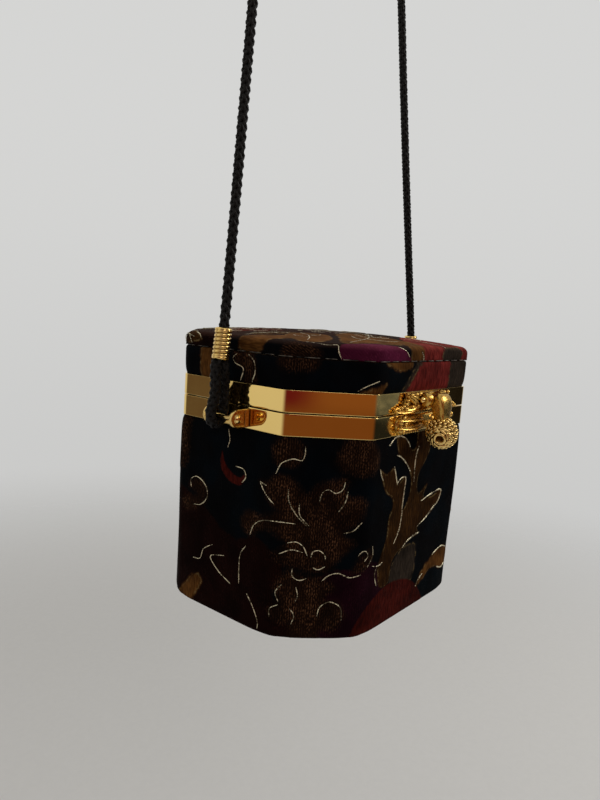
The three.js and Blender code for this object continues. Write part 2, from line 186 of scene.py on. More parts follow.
# Floor and light, in metres
FLOOR_DROP = 0.28
FLOOR_SIZE = 3.0
FLOOR_TONES = ((0.67, 0.68, 0.69), (0.71, 0.72, 0.73))
FLOOR_FADE = (0.45, 1.4)
LIGHT_AIM_DROP = 0.03
BACKDROP = (0.665, 0.665, 0.655)

# Tones that the gilt mirrors; pairs go from left to right or from low to high
ROOM_LOW = ((0.165, 0.060, 0.020), (0.014, 0.015, 0.016))
ROOM_WARM = (0.215, 0.080, 0.027)
ROOM_MOTTLED = ((0.050, 0.058, 0.062), (0.29, 0.30, 0.30))
ROOM_RED = (0.115, 0.011, 0.016)
ROOM_FAR = (0.010, 0.008, 0.007)
ROOM_CEILING = (0.38, 0.37, 0.35)
WALL_PALE = ((0.45, 0.45, 0.44), (0.69, 0.67, 0.62))
WALL_SHADOW = (0.105, 0.075, 0.055)


# Geometry helpers

def unit(vectors):
    return vectors / np.linalg.norm(vectors, axis=-1, keepdims=True)


def smooth_line(points, closed=False, steps=8):
    """A centripetal Catmull-Rom line through the points."""
    points = np.asarray(points, float)
    if closed:
        ends = np.vstack([points[-1:], points, points[:2]])
    else:
        ends = np.vstack([2 * points[:1] - points[1:2], points, 2 * points[-1:] - points[-2:-1]])
    share = np.linspace(0, 1, steps, endpoint=False)[:, None]
    line = []
    for a, b, c, d in zip(ends, ends[1:], ends[2:], ends[3:]):
        t1 = np.linalg.norm(b - a) ** 0.5
        t2 = t1 + np.linalg.norm(c - b) ** 0.5
        t3 = t2 + np.linalg.norm(d - c) ** 0.5
        t = t1 + share * (t2 - t1)
        ab = a + (b - a) * t / t1
        bc = b + (c - b) * (t - t1) / (t2 - t1)
        cd = c + (d - c) * (t - t2) / (t3 - t2)
        abc = ab + (bc - ab) * t / t2
        bcd = bc + (cd - bc) * (t - t1) / (t3 - t1)
        line.append(abc + (bcd - abc) * (t - t1) / (t2 - t1))
    if not closed:
        line.append(points[-1:])
    return np.vstack(line)


def line_lengths(line):
    return np.concatenate([[0], np.cumsum(np.linalg.norm(np.diff(line, axis=0), axis=1))])


def spaced(line, step):
    """The line again, with points one step apart."""
    lengths = line_lengths(line)
    where = np.linspace(0, lengths[-1], max(3, round(lengths[-1] / step) + 1))
    return np.stack([np.interp(where, lengths, axis) for axis in line.T], axis=1)


def grid(points, wrap_rows=False):
    """Faces over closed rings of points, and from the last ring to the first if the rows wrap."""
    rows, columns = points.shape[:2]
    row, column = np.meshgrid(np.arange(rows if wrap_rows else rows - 1), np.arange(columns), indexing="ij")
    next_row = (row + 1) % rows
    next_column = (column + 1) % columns
    corners = [(row, column), (row, next_column), (next_row, next_column), (next_row, column)]
    faces = np.stack([r * columns + c for r, c in corners], axis=-1)
    return points.reshape(-1, 3), faces.reshape(-1, 4).tolist()


def joined(shells):
    points = []
    faces = []
    start = 0
    for shell_points, shell_faces in shells:
        points.append(shell_points)
        faces += [[start + corner for corner in face] for face in shell_faces]
        start += len(shell_points)
    return np.vstack(points), faces


def capped(rings):
    """Faces over rings of points, and one face over each end ring."""
    rings = np.asarray(rings, float)
    count = rings.shape[1]
    points, faces = grid(rings)
    return points, faces + [list(range(count)), list(range(len(points) - count, len(points)))]


def at_level(outline, level):
    return np.column_stack([outline, np.full(len(outline), level)])


def eased(share):
    """A share from 0 to 1 with a soft start and end."""
    share = np.clip(share, 0, 1)
    return share * share * (3 - 2 * share)


def full_turn(count):
    """Angles of one turn in equal steps."""
    return np.linspace(0, 2 * math.pi, count, endpoint=False)


def path_frames(path, closed=False):
    """Side and up at each point of a path, carried along it without twist."""
    if closed:
        tangent = unit(np.roll(path, -1, axis=0) - np.roll(path, 1, axis=0))
    else:
        tangent = unit(np.gradient(path, axis=0))
    upright = abs(tangent[0][2]) > 0.9
    turn = np.cross(tangent[0], (1, 0, 0) if upright else (0, 0, 1))
    side = np.empty_like(path)
    for index, along in enumerate(tangent):
        turn = unit(turn - along * turn.dot(along))
        side[index] = turn
    return side, np.cross(tangent, side)


def circle(radius, sides):
    around = full_turn(sides)
    return np.stack([radius * np.cos(around), radius * np.sin(around)], axis=1)


def tube(path, radius, sides, closed=False):
    """A round wire along a path."""
    path = np.asarray(path, float)
    side, up = path_frames(path, closed)
    ring = circle(radius, sides)
    rings = path[:, None] + ring[:, :1] * side[:, None] + ring[:, 1:] * up[:, None]
    return grid(rings, wrap_rows=True) if closed else capped(rings)


def lathe(profile, centre, axis, segments):
    """A profile of (radius, height) points turned about the axis x, y or z."""
    first, second, along = np.roll(np.eye(3), -1 - "xyz".index(axis), axis=0)
    around = full_turn(segments)
    spokes = np.cos(around)[:, None] * first + np.sin(around)[:, None] * second
    radius, height = np.asarray(profile, float).T
    rings = radius[:, None, None] * spokes + height[:, None, None] * along
    return grid(np.asarray(centre, float) + rings)


def ball(centre, radius, segments=12):
    turn = np.linspace(0, math.pi, segments // 2 + 1)
    return lathe(radius * np.stack([np.sin(turn), -np.cos(turn)], axis=1), centre, "z", segments)


def block(low, high, edge):
    """A box with small rounded edges along its height."""
    low, high = np.asarray(low, float), np.asarray(high, float)
    half = (high - low) / 2
    outline = []
    for sign_x, sign_y in ((1, 1), (-1, 1), (-1, -1), (1, -1)):
        start = math.atan2(sign_y, sign_x) - math.pi / 4
        for turn in np.linspace(start, start + math.pi / 2, 4):
            outline.append((
                sign_x * (half[0] - edge) + edge * math.cos(turn),
                sign_y * (half[1] - edge) + edge * math.sin(turn),
            ))
    outline = np.array(outline)
    shrunk = outline * (1 - edge / half[:2])
    levels = [(shrunk, -half[2]), (outline, edge - half[2]), (outline, half[2] - edge), (shrunk, half[2])]
    return capped((low + high) / 2 + np.stack([at_level(ring, level) for ring, level in levels]))


# Pieces; points nearer to each other than MERGE, in metres, become one

MERGE = 0.000002


def make_piece(name, shell, material, body, replaced=(), fields=None, sharp=50):
    """A mesh in the frame that rides on a body. fields are vectors for its material; sharp is in degrees."""
    points, faces = shell
    mesh = bpy.data.meshes.new(name)
    mesh.from_pydata((SPLIT + MM * points).tolist(), [], faces)
    for key, values in (fields or {}).items():
        layer = mesh.attributes.new(key, "FLOAT_VECTOR", "POINT")
        layer.data.foreach_set("vector", np.asarray(values, np.float32).ravel())
    shape = bmesh.new()
    shape.from_mesh(mesh)
    bmesh.ops.remove_doubles(shape, verts=shape.verts, dist=MERGE)
    bmesh.ops.dissolve_degenerate(shape, edges=shape.edges, dist=MERGE)
    bmesh.ops.recalc_face_normals(shape, faces=shape.faces)
    shape.to_mesh(mesh)
    shape.free()
    mesh.shade_smooth()
    mesh.set_sharp_from_angle(angle=math.radians(sharp))
    mesh.materials.append(material)
    piece = bpy.data.objects.new(name, mesh)
    scene.collection.objects.link(piece)
    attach(piece, body)
    if replaced:
        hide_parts(*replaced)
    return piece


# Material helpers

def feed(tree, made, sockets):
    for key, value in sockets.items():
        socket = made.inputs[key]
        if isinstance(value, bpy.types.NodeSocket):
            tree.links.new(value, socket)
        elif socket.type == "RGBA" and len(value) == 3:
            socket.default_value = (*value, 1)
        else:
            socket.default_value = value
    return made


def node(tree, kind, sockets=None, **settings):
    made = tree.nodes.new(kind)
    for key, value in settings.items():
        setattr(made, key, value)
    return feed(tree, made, sockets or {})


def maths(tree, operation, *values):
    return node(tree, "ShaderNodeMath", dict(enumerate(values)), operation=operation).outputs[0]


def mix(tree, factor, first, second, blend="MIX"):
    sockets = {0: factor, 6: first, 7: second}
    return node(tree, "ShaderNodeMix", sockets, data_type="RGBA", blend_type=blend).outputs[2]


def ramp(tree, value, low, high, to_low=0.0, to_high=1.0):
    sockets = {"Value": value, "From Min": low, "From Max": high, "To Min": to_low, "To Max": to_high}
    return node(tree, "ShaderNodeMapRange", sockets, interpolation_type="SMOOTHSTEP").outputs[0]


def noise(tree, vector, scale, detail):
    sockets = {"Vector": vector, "Scale": scale, "Detail": detail}
    return node(tree, "ShaderNodeTexNoise", sockets).outputs["Fac"]


def stretched(tree, vector, factors):
    return node(tree, "ShaderNodeVectorMath", {0: vector, 1: factors}, operation="MULTIPLY").outputs[0]


def attribute(tree, name):
    return node(tree, "ShaderNodeAttribute", attribute_name=name).outputs["Vector"]


def split_vector(tree, vector):
    return node(tree, "ShaderNodeSeparateXYZ", {0: vector}).outputs


def object_millimetres(tree, stretch=(1, 1, 1)):
    place = node(tree, "ShaderNodeTexCoord").outputs["Object"]
    return stretched(tree, place, tuple(part / MM for part in stretch))


def bump(tree, shader, height, distance, strength):
    sockets = {"Height": height, "Distance": distance, "Strength": strength}
    feed(tree, shader, {"Normal": node(tree, "ShaderNodeBump", sockets).outputs[0]})


def new_material(name, **sockets):
    material = bpy.data.materials.new(name)
    material.use_nodes = True
    tree = material.node_tree
    shader = tree.nodes["Principled BSDF"]
    feed(tree, shader, {key.replace("_", " "): value for key, value in sockets.items()})
    return material, tree, shader


# Materials

def grained(name, scale, tones, rough, detail=3, stretch=(1, 1, 1), spread=(0.3, 0.7), contrast=None,
            hollow_shade=None, relief=None, wave=None, **sockets):
    """Two tones mixed by a fine grain, which also moves the roughness within the spread of the grain.
    The hollow shade argument paints shade: crevices darkened by ambient occlusion; it gives how near in
    metres, the closed and open shares and the shade's tone.
    relief is the height in metres and strength of the grain, or of a wave of its own scale and detail."""
    material, tree, shader = new_material(name, **sockets)
    place = object_millimetres(tree, stretch)
    grain = noise(tree, place, scale, detail)
    colour = mix(tree, ramp(tree, grain, *contrast) if contrast else grain, *tones)
    if hollow_shade:
        # Painted shade: the colour goes to the shade tone where ambient occlusion finds other surfaces near.
        near, closed, opened, shade_tone = hollow_shade
        share = node(tree, "ShaderNodeAmbientOcclusion", {"Distance": near}, samples=6).outputs["AO"]
        colour = mix(tree, ramp(tree, share, closed, opened), shade_tone, colour)
    feed(tree, shader, {"Base Color": colour, "Roughness": ramp(tree, grain, *spread, *rough)})
    if relief:
        bump(tree, shader, noise(tree, place, *wave) if wave else grain, *relief)
    return material


# Mirror gilt of the bands, pins and hinge, with painted shade where other surfaces come near, as in the split
# between the bands
POLISHED = grained(
    "polished_gilt", scale=0.09, tones=((0.93, 0.66, 0.23), (0.98, 0.72, 0.27)), rough=(0.035, 0.075),
    spread=(0.3, 0.75), hollow_shade=(0.0007, 0.3, 0.7, (0.012, 0.006, 0.002)), relief=(0.0002, 0.12),
    wave=(0.05, 1), Metallic=1.0,
)

# Cast brass, gilt on its high places, with painted shade darkening its hollows
CAST = grained(
    "cast_gilt", scale=1.6, tones=((0.78, 0.52, 0.16), (0.94, 0.68, 0.26)), rough=(0.16, 0.28),
    spread=(0.25, 0.75), hollow_shade=(0.0016, 0.25, 0.8, (0.10, 0.048, 0.010)), relief=(0.00012, 0.25),
    Metallic=1.0,
)

# The duller gilt of the clasp's castings and lever, with painted amber-brown shade in its hollows
AMBER = grained(
    "amber_gilt", scale=1.1, tones=((0.58, 0.33, 0.06), (0.82, 0.54, 0.15)), rough=(0.22, 0.34),
    spread=(0.25, 0.75), hollow_shade=(0.0014, 0.2, 0.75, (0.14, 0.066, 0.010)), relief=(0.00015, 0.3),
    Metallic=1.0,
)

# The dark brown gilt of the knob's core, under its filigree
DARK = grained(
    "dark_gilt", scale=1.2, tones=((0.16, 0.085, 0.02), (0.36, 0.21, 0.06)), rough=(0.3, 0.5),
    spread=(0.2, 0.8), Metallic=1.0,
)

# Worn thread of the lid's seam
SEAM = grained(
    "seam_thread", scale=0.25, tones=((0.006, 0.005, 0.004), (0.16, 0.14, 0.11)), rough=(0.9, 0.6),
    contrast=(0.4, 0.62), Sheen_Weight=0.1,
)

# Black cord of the strap
CORD = grained(
    "black_cord", scale=1.0, tones=((0.0012, 0.0012, 0.0012), (0.0075, 0.0072, 0.0065)), rough=(0.45, 0.65),
    stretch=(3, 3, 0.8), relief=(0.0002, 0.4), Sheen_Weight=0.006, Sheen_Roughness=0.4,
    Specular_IOR_Level=0.2,
)

# Satin of the linings
SATIN = grained(
    "satin", scale=1.0, tones=((0.020, 0.0145, 0.0125), (0.036, 0.027, 0.023)), rough=(0.34, 0.44), detail=2,
    stretch=(4, 4, 0.6), relief=(0.00008, 0.4), Sheen_Weight=0.2, Sheen_Roughness=0.3, Anisotropic=0.4,
)

# Card of the boards
CARD = grained(
    "card", scale=0.8, tones=((0.30, 0.22, 0.13), (0.42, 0.33, 0.22)), rough=(0.8, 0.95), detail=4,
    relief=(0.0001, 0.3),
)

# Tones of the brocade: darker and lighter threads of each field, in the order in which the fields overlie
GROUND_TONES = ((0.0010, 0.0024, 0.0040), (0.0016, 0.0016, 0.0022))
FIELD_TONES = {
    "maroon": ((0.0055, 0.0014, 0.0010), (0.0130, 0.0030, 0.0020)),
    "plum": ((0.0095, 0.0014, 0.0042), (0.0200, 0.0030, 0.0080)),
    # The next two are brighter copies of plum and red for the lid: painted light, where more light falls from
    # above.
    "lit_plum": ((0.0640, 0.0066, 0.0250), (0.1250, 0.0150, 0.0500)),
    "lit_red": ((0.0720, 0.0080, 0.0070), (0.1600, 0.0210, 0.0180)),
    "grey": ((0.0140, 0.0105, 0.0078), (0.0330, 0.0250, 0.0180)),
    "red": ((0.0240, 0.0026, 0.0017), (0.0540, 0.0064, 0.0040)),
    "ochre": ((0.0520, 0.0205, 0.0048), (0.1000, 0.0425, 0.0105)),
    "scroll": ((0.0070, 0.0030, 0.0017), (0.0950, 0.0440, 0.0215)),
    "leaf": ((0.0150, 0.0055, 0.0012), (0.0360, 0.0155, 0.0034)),
}
MOTIF_LAYERS = {
    "motif_a": ("leaf", "scroll", "ochre"),
    "motif_b": ("maroon", "plum", "red"),
    "motif_c": ("grey", "lit_plum", "lit_red"),
}
THREAD_WIDTH = 1.05
CRISP = ("leaf", "red", "lit_red", "lit_plum")
STREAKED = ("leaf", "ochre", "red", "lit_red", "grey")
PLAIN_EDGE = 0.9
EDGE_SOFT = {**dict.fromkeys(CRISP, 0.35), "scroll": 2.2}
OUTLINED = ("leaf", "ochre", "grey")
OUTLINE_TONE = (0.115, 0.082, 0.034)
# These lighten cloth that faces up: painted light from above, with some dust.
TOP_LIGHT_GAIN = (1.5, 1.5, 1.5)
TOP_LIGHT_AND_DUST = (0.020, 0.0095, 0.0060)
# The thread's dark tone and its painted glint.
THREAD_DARK_AND_GLINT = ((0.07, 0.05, 0.024), (0.82, 0.75, 0.52))


def brocade():
    """Velvet with woven fields; the mesh says how far inside each field a point lies."""
    material, tree, shader = new_material(
        "brocade", Sheen_Weight=0.004, Sheen_Roughness=0.4, Sheen_Tint=(0.6, 0.5, 0.45),
        Specular_IOR_Level=0.02,
    )
    cloth = attribute(tree, "cloth")
    depths = {}
    for layer, names in MOTIF_LAYERS.items():
        depths.update(zip(names, split_vector(tree, attribute(tree, layer))))
    across = split_vector(tree, cloth)[0]
    thread = maths(tree, "SINE", maths(tree, "MULTIPLY", across, 2 * math.pi / THREAD_WIDTH))
    fleck_noise = noise(tree, stretched(tree, cloth, (2.4, 0.8, 1)), 1.0, 2)
    fleck = ramp(tree, maths(tree, "MULTIPLY_ADD", thread, 0.07, fleck_noise), 0.48, 0.70)
    patch = ramp(tree, noise(tree, stretched(tree, cloth, (1.6, 0.7, 1)), 0.11, 2), 0.38, 0.64, 0.2, 1.0)
    fleck = maths(tree, "MULTIPLY", fleck, patch)
    fine_edge = maths(tree, "MULTIPLY_ADD", noise(tree, cloth, 1.5, 2), 1.4, -0.7)
    broad_edge = maths(tree, "MULTIPLY_ADD", noise(tree, cloth, 0.3, 2), 3.0, -1.5)
    edge = maths(tree, "ADD", fine_edge, broad_edge)
    pile = ramp(tree, noise(tree, cloth, 0.07, 3), 0.3, 0.7, 0.65, 1.3)
    streak = ramp(tree, noise(tree, stretched(tree, cloth, (1.1, 0.2, 1)), 1.0, 3), 0.36, 0.66)
    broken = ramp(tree, noise(tree, cloth, 0.3, 3), 0.44, 0.58, 0.0, 0.8)
    colour = mix(tree, ramp(tree, noise(tree, cloth, 0.05, 2), 0.35, 0.65), *GROUND_TONES)
    for name, (dark, light) in FIELD_TONES.items():
        inside = maths(tree, "ADD", depths[name], fine_edge if name in CRISP else edge)
        soft = EDGE_SOFT.get(name, PLAIN_EDGE)
        weave = streak if name in STREAKED else fleck
        colour = mix(tree, ramp(tree, inside, -soft, soft), colour, mix(tree, weave, dark, light))
        if name in OUTLINED:
            rim = ramp(tree, maths(tree, "ABSOLUTE", maths(tree, "ADD", inside, -0.5)), 0.5, 0.1)
            colour = mix(tree, maths(tree, "MULTIPLY", rim, broken), colour, OUTLINE_TONE)
    shade = node(tree, "ShaderNodeCombineColor", {0: pile, 1: pile, 2: pile}).outputs[0]
    colour = mix(tree, 1.0, colour, shade, "MULTIPLY")
    # Painted light, with some dust: cloth that faces up is made lighter.
    normal = node(tree, "ShaderNodeNewGeometry").outputs["Normal"]
    facing_up = ramp(tree, split_vector(tree, normal)[2], 0.35, 0.95)
    lit_and_dusty = mix(tree, 1.0, mix(tree, 1.0, colour, TOP_LIGHT_GAIN, "MULTIPLY"), TOP_LIGHT_AND_DUST, "ADD")
    colour = mix(tree, facing_up, colour, lit_and_dusty)
    feed(tree, shader, {"Base Color": colour, "Roughness": ramp(tree, fleck, 0, 1, 0.85, 0.6)})
    bump(tree, shader, maths(tree, "MULTIPLY_ADD", thread, 0.3, fleck), 0.00012, 0.5)
    return material


def gold_thread():
    """Pale metal thread with painted glints: a fine noise takes it from dark to bright, and it is darker over
    broad patches where it sinks into the pile.
    """
    material, tree, shader = new_material("gold_thread", Metallic=0.6)
    place = object_millimetres(tree)
    # Painted glints: bright flecks of the thread from a fine noise.
    glint = noise(tree, place, 1.5, 3)
    sunk = ramp(tree, noise(tree, place, 0.16, 2), 0.36, 0.56, -0.12, 0.05)
    lit = ramp(tree, maths(tree, "ADD", glint, sunk), 0.38, 0.58)
    colour = mix(tree, lit, *THREAD_DARK_AND_GLINT)
    feed(tree, shader, {"Base Color": colour, "Roughness": ramp(tree, glint, 0.3, 0.7, 0.55, 0.35)})
    bump(tree, shader, glint, 0.00015, 0.7)
    return material


BROCADE = brocade()
GOLD_THREAD = gold_thread()


# The octagon

def octagon(inset):
    x = HALF_WIDTH - inset
    y = HALF_DEPTH - inset
    cut = CORNER_CUT - inset * (2 - math.sqrt(2))
    return np.array([
        (cut - x, -y), (x - cut, -y), (x, cut - y), (x, y - cut),
        (x - cut, y), (cut - x, y), (-x, y - cut), (-x, cut - y),
    ])


def rounded_octagon(inset, radius, arc_steps, cuts):
    """Points and outward normals counterclockwise, from the left end of the front left cut.
    cuts gives the places of the points along a straight stretch of a length."""
    corners = octagon(inset)
    reach = radius * math.tan(math.pi / 8)
    points = []
    normals = []
    for index, corner in enumerate(corners):
        before = unit(corner - corners[index - 1])
        outward = np.array((before[1], -before[0]))
        start = corners[index - 1] + before * reach
        stop = corner - before * reach
        for place in cuts(np.linalg.norm(stop - start)):
            points.append(start + before * place)
            normals.append(outward)
        first = math.atan2(outward[1], outward[0])
        for turn in np.linspace(first, first + math.pi / 4, arc_steps + 1):
            normal = np.array((math.cos(turn), math.sin(turn)))
            points.append(stop - outward * radius + normal * radius)
            normals.append(normal)
    return np.array(points), np.array(normals)


def cuts_by_step(step):
    return lambda length: np.linspace(0, length, math.ceil(length / step) + 1)[1:-1]


def cuts_by_count(count):
    return lambda length: np.linspace(0, length, count + 1)[1:-1]


def cuts_near_ends(margin):
    return lambda length: np.array((margin, length / 2, length - margin))


# Pattern of the cloth. Places are (along, up) on the unrolled wall: along is 0 at the middle of the front
# left cut and grows towards the front, up is the height over the split. It comes twice round the box.

def spot(along, up, radius):
    return [(along + x, up + y) for x, y in circle(radius, 10)]


WALL_FIELDS = {
    "maroon": [
        [(-92, -44), (-70, -47), (-60, -52), (-50, -58), (-40, -60), (-30, -56), (-22, -60), (-16, -68),
         (-20, -80), (-12, -92), (-10, -106), (-96, -106)],
    ],
    "plum": [
        [(0, -71), (8, -67), (18, -68), (25, -65), (33, -71), (34, -82), (23, -87), (17, -97), (16, -106),
         (-6, -106), (-8, -86)],
    ],
    "grey": [
        [(40, -80), (41, -72), (47, -66.5), (55, -64.5), (63, -66), (64.5, -75), (62, -84), (52, -83)],
        [(37, 6), (40, 13), (45.5, 19), (53.5, 27), (58.5, 27), (48.5, 18), (43.5, 12), (40.5, 6)],
        [(85, 6), (82, 16), (85, 28), (108, 28), (112, 6)],
    ],
    "red": [
        [(15, -106), (16, -96), (20, -89), (27, -83.5), (37, -80), (50, -80.5), (62, -84.5), (71, -92),
         (78, -106)],
        [(-53, -22), (-51, -27), (-46, -31), (-41, -32), (-38, -30), (-40, -35), (-47, -35), (-53, -30)],
    ],
    # Painted light: the lid wall's red as its brighter, lit copy.
    "lit_red": [
        [(39.5, 6), (42.5, 13), (48.5, 19), (58.5, 27), (87, 27), (84, 16), (88, 6)],
    ],
    "ochre": [
        [(-73, -90), (-66, -84), (-62, -86), (-66, -94), (-72, -101), (-80, -99)],
        [(67.5, -89), (71, -83.5), (80, -78), (87, -75), (94, -74.5), (101, -77.5), (101.5, -84.5),
         (94, -86.5), (87, -84), (80, -84), (74, -87.5)],
        [(-69, 6), (-63.5, 6), (-63.5, 27), (-69, 27)],
        [(20, 25), (27, 21), (38, 19), (46, 22), (42, 28), (22, 28)],
        [(9, 7), (13, 10.5), (19, 13), (25, 14), (23, 11), (20, 7)],
    ],
    "scroll": [
        [(-84, -6), (-76, -8), (-75, -20), (-77, -33), (-84, -36)],
        spot(-17, -16, 6.5),
        [(4, -21), (6, -13), (12, -8), (20, -12), (23, -19), (20, -24), (11, -25)],
        [(-29, -31), (-24, -30), (-20, -26), (-13, -29), (-8, -34), (-4, -30), (2, -28), (9, -26), (9, -34),
         (17, -36), (16, -44), (9, -51), (14, -55), (8, -62), (3, -68), (-6, -67), (-14, -66), (-21, -62),
         (-16, -56), (-24, -51), (-34, -56), (-39, -52), (-36, -46), (-27, -46), (-20, -42), (-25, -37)],
        [(-14, -68), (-6, -71), (2, -71), (7, -75), (3, -80), (9, -82), (12, -88), (8, -95), (2, -95),
         (1, -106), (-12, -106), (-12, -93), (-19, -91), (-21, -86), (-17, -82), (-19, -77)],
        [(14, -69), (17, -62), (21, -59), (24, -62), (21, -67)],
        [(-73, -43), (-70, -38), (-64, -39), (-61, -45), (-66, -51), (-76, -54), (-78, -50), (-68, -46)],
        [(-44, 6), (-42, 15), (-48, 18), (-50, 23), (-46, 27), (-40, 26), (-37, 21), (-36, 15), (-37, 6)],
        [(-23, 19), (-15, 18), (-7, 20), (-8, 28), (-22, 28)],
        [(104, -12), (112, -20), (122, -30), (128, -44), (124, -58), (116, -68), (118, -82), (112, -92),
         (106, -84), (108, -70), (103, -58), (110, -44), (106, -30)],
    ],
    "leaf": [
        [(32, -79), (29, -69), (32, -62), (34.5, -56), (35, -47), (38, -42), (36, -38), (31, -35),
         (26.5, -28.5), (24, -23), (30, -26), (36, -24), (40, -32), (47, -29.5), (47, -38), (46.5, -46),
         (50, -43), (53, -35), (50.5, -28), (46, -23.5), (39.5, -19), (37, -12), (40, -9), (46, -12),
         (50, -17), (54, -17), (57, -10), (68, -10), (69, -19), (65, -25), (60, -30), (59, -35), (61, -40),
         (70, -36.5), (66.5, -42.5), (75, -44), (85.5, -42), (82.5, -48), (77, -52), (69, -55.5),
         (63, -57.5), (65, -61), (58, -62), (50, -65), (45, -66.5), (41, -70), (39.5, -79)],
    ],
}
WALL_STROKES = [
    [(-21, -26), (-19, -21), (-15, -19), (-11, -19.5), (-10, -17), (-10, -13.5)],
    [(-29, -31), (-25, -32)],
    [(-29, -31), (-26, -35), (-21, -39)],
    [(-16, -32), (-15.5, -37), (-12, -43), (-7, -48)],
    [(-11, -38), (-10.5, -43), (-6, -48)],
    [(-33, -56), (-31, -51), (-27, -48), (-20, -46.5), (-12, -47)],
    [(-2.5, -37), (-1.5, -33), (1, -31.5), (4, -33), (7, -31.5), (8, -28)],
    [(6, -41), (8.5, -37), (9.5, -32)],
    [(9, -50.5), (13, -49.5), (16.5, -45.5)],
    [(-15, -55.5), (-11, -55), (-8, -57), (-6, -61)],
    [(-18, -60.5), (-13, -58.5), (-8, -59.5)],
    [(-4.5, -61.5), (-3.5, -59), (-1, -58.5), (1.5, -60.5), (2, -62.5)],
    [(-3.5, -66), (-1, -67), (2, -65.5)],
    [(-12, -67), (-12, -70), (-9, -72), (-5.5, -71)],
    [(1, -72), (4, -69.5), (8, -68.5), (13, -70.5), (18, -69.5)],
    [(16, -61), (17.5, -59), (19.5, -59), (20.5, -61.5), (19, -63.5)],
    [(23.5, -57.5), (24.3, -62), (21, -66.5)],
    [(32.5, -67), (28.5, -68), (24.5, -67)],
    [(28.5, -68), (27, -71.5), (29, -77.5)],
    [(24, -23), (25, -25.5), (27, -28.5)],
    [(-16, -74), (-18.5, -78), (-17, -82.5)],
    [(-10, -75), (-9, -79), (-10, -82)],
    [(-20.5, -90), (-20.5, -86), (-17, -83.5)],
    [(-12, -85), (-10, -88), (-11, -92)],
    [(0, -88), (1, -84), (5, -81.5), (10, -84), (11, -90)],
    [(-33, -83), (-29, -88), (-26, -94), (-26, -97)],
    [(-35, -61.5), (-38, -66), (-38.5, -72), (-38, -80)],
    [(-48, -70), (-57, -73), (-52, -78), (-43, -82)],
    [(-69, -77), (-64, -76), (-62, -71), (-56, -67)],
    [(-72, -43), (-73, -40), (-69, -37.5), (-63, -40), (-61, -45), (-65, -50), (-70, -51)],
    [(-44, -27.5), (-39, -28), (-37.5, -31), (-39.5, -34)],
    [(-50, -12), (-48.5, -16), (-49.5, -20)],
]
LEAF_STROKES = [
    [(30.5, -13.5), (34, -11.5), (38.5, -10.2), (43.5, -11), (47, -13.5), (49, -16)],
    [(37, -18.5), (40.5, -19.5), (46.5, -23.5), (51, -28)],
    [(57, -16.5), (55, -20.5), (54.5, -26.5), (55, -33.5)],
    [(36, -23.5), (37.5, -26.5), (40, -32.5)],
    [(39.5, -32), (43, -30), (47, -30), (46.5, -36.5), (46, -49), (44.5, -55.5), (41, -60.5)],
    [(64, -44.5), (73.5, -43), (85, -42.5), (83.5, -47.5), (77, -50.5), (71, -54), (62.5, -57)],
    [(65.5, -60.5), (59, -61), (53, -62.5), (49.5, -64.5)],
    [(82.5, -76.5), (87, -75), (93, -74.3), (99.5, -76.5)],
    [(88.5, -84.5), (95.5, -86.7), (100.5, -85)],
    [(73, -84), (69.5, -86), (67, -89)],
    [(106, -30), (110, -44), (104, -58)],
    [(122, -30), (128, -44), (124, -58), (117, -68)],
    [(108, -70), (106, -84), (112, -92)],
]
LID_STROKES = [
    [(-45, 10.5), (-43, 16), (-48, 18), (-49.5, 20), (-47, 22.3)],
    [(-40, 22.3), (-37, 20), (-36, 15), (-38, 10.5)],
    [(10, 10.5), (14, 13), (19, 15.5)],
    [(104, 11), (110, 15), (118, 13), (124, 18), (130, 20)],
]


def leaf_motif(root, tip, wide, bend):
    """A pointed leaf: its outline, then its rib, veins and one edge as strokes."""
    root, tip = np.array(root, float), np.array(tip, float)
    along = tip - root
    across = np.array((-along[1], along[0])) / np.linalg.norm(along)

    def at(share, side):
        return tuple(root + along * share + across * (bend * math.sin(math.pi * share) + wide * side))

    edge = ((0.1, 0.35), (0.3, 0.95), (0.4, 0.8), (0.6, 0.85), (0.68, 0.6), (0.85, 0.4))
    outline = [at(0, 0), *(at(*place) for place in edge), at(1, 0)]
    outline += [at(share, -side) for share, side in reversed(edge)]
    strokes = [[at(share, 0) for share in (-0.12, 0.2, 0.5, 0.75)]]
    strokes.append([at(share, side * 0.97) for share, side in edge[1:]] + [at(0.98, 0)])
    for share in (0.2, 0.4, 0.58):
        strokes.append([at(share, 0), at(share + 0.07, -0.3), at(share + 0.1, -0.62)])
    return outline, strokes


def flower_motif(centre, radius, petals):
    """A round flower: its lobed outline, then its petals and heart as strokes."""
    def at(turns, share):
        angle = 2 * math.pi * turns / petals
        return centre[0] + radius * share * math.cos(angle), centre[1] + radius * share * math.sin(angle)

    outline = []
    strokes = []
    for petal_index in range(petals):
        lobe = ((0, 0.8), (0.25, 0.98), (0.5, 1.04), (0.75, 0.98))
        outline += [at(petal_index + turn, share) for turn, share in lobe]
        strokes.append([at(petal_index + turn, share - 0.05) for turn, share in ((0.08, 0.86), *lobe[1:])])
        strokes.append([at(petal_index, 0.74), at(petal_index + 0.1, 0.56), at(petal_index + 0.45, 0.42)])
    strokes.append([at(turn, 0.1 + 0.2 * turn / petals) for turn in np.linspace(0, 1.4 * petals, 14)])
    return outline, strokes


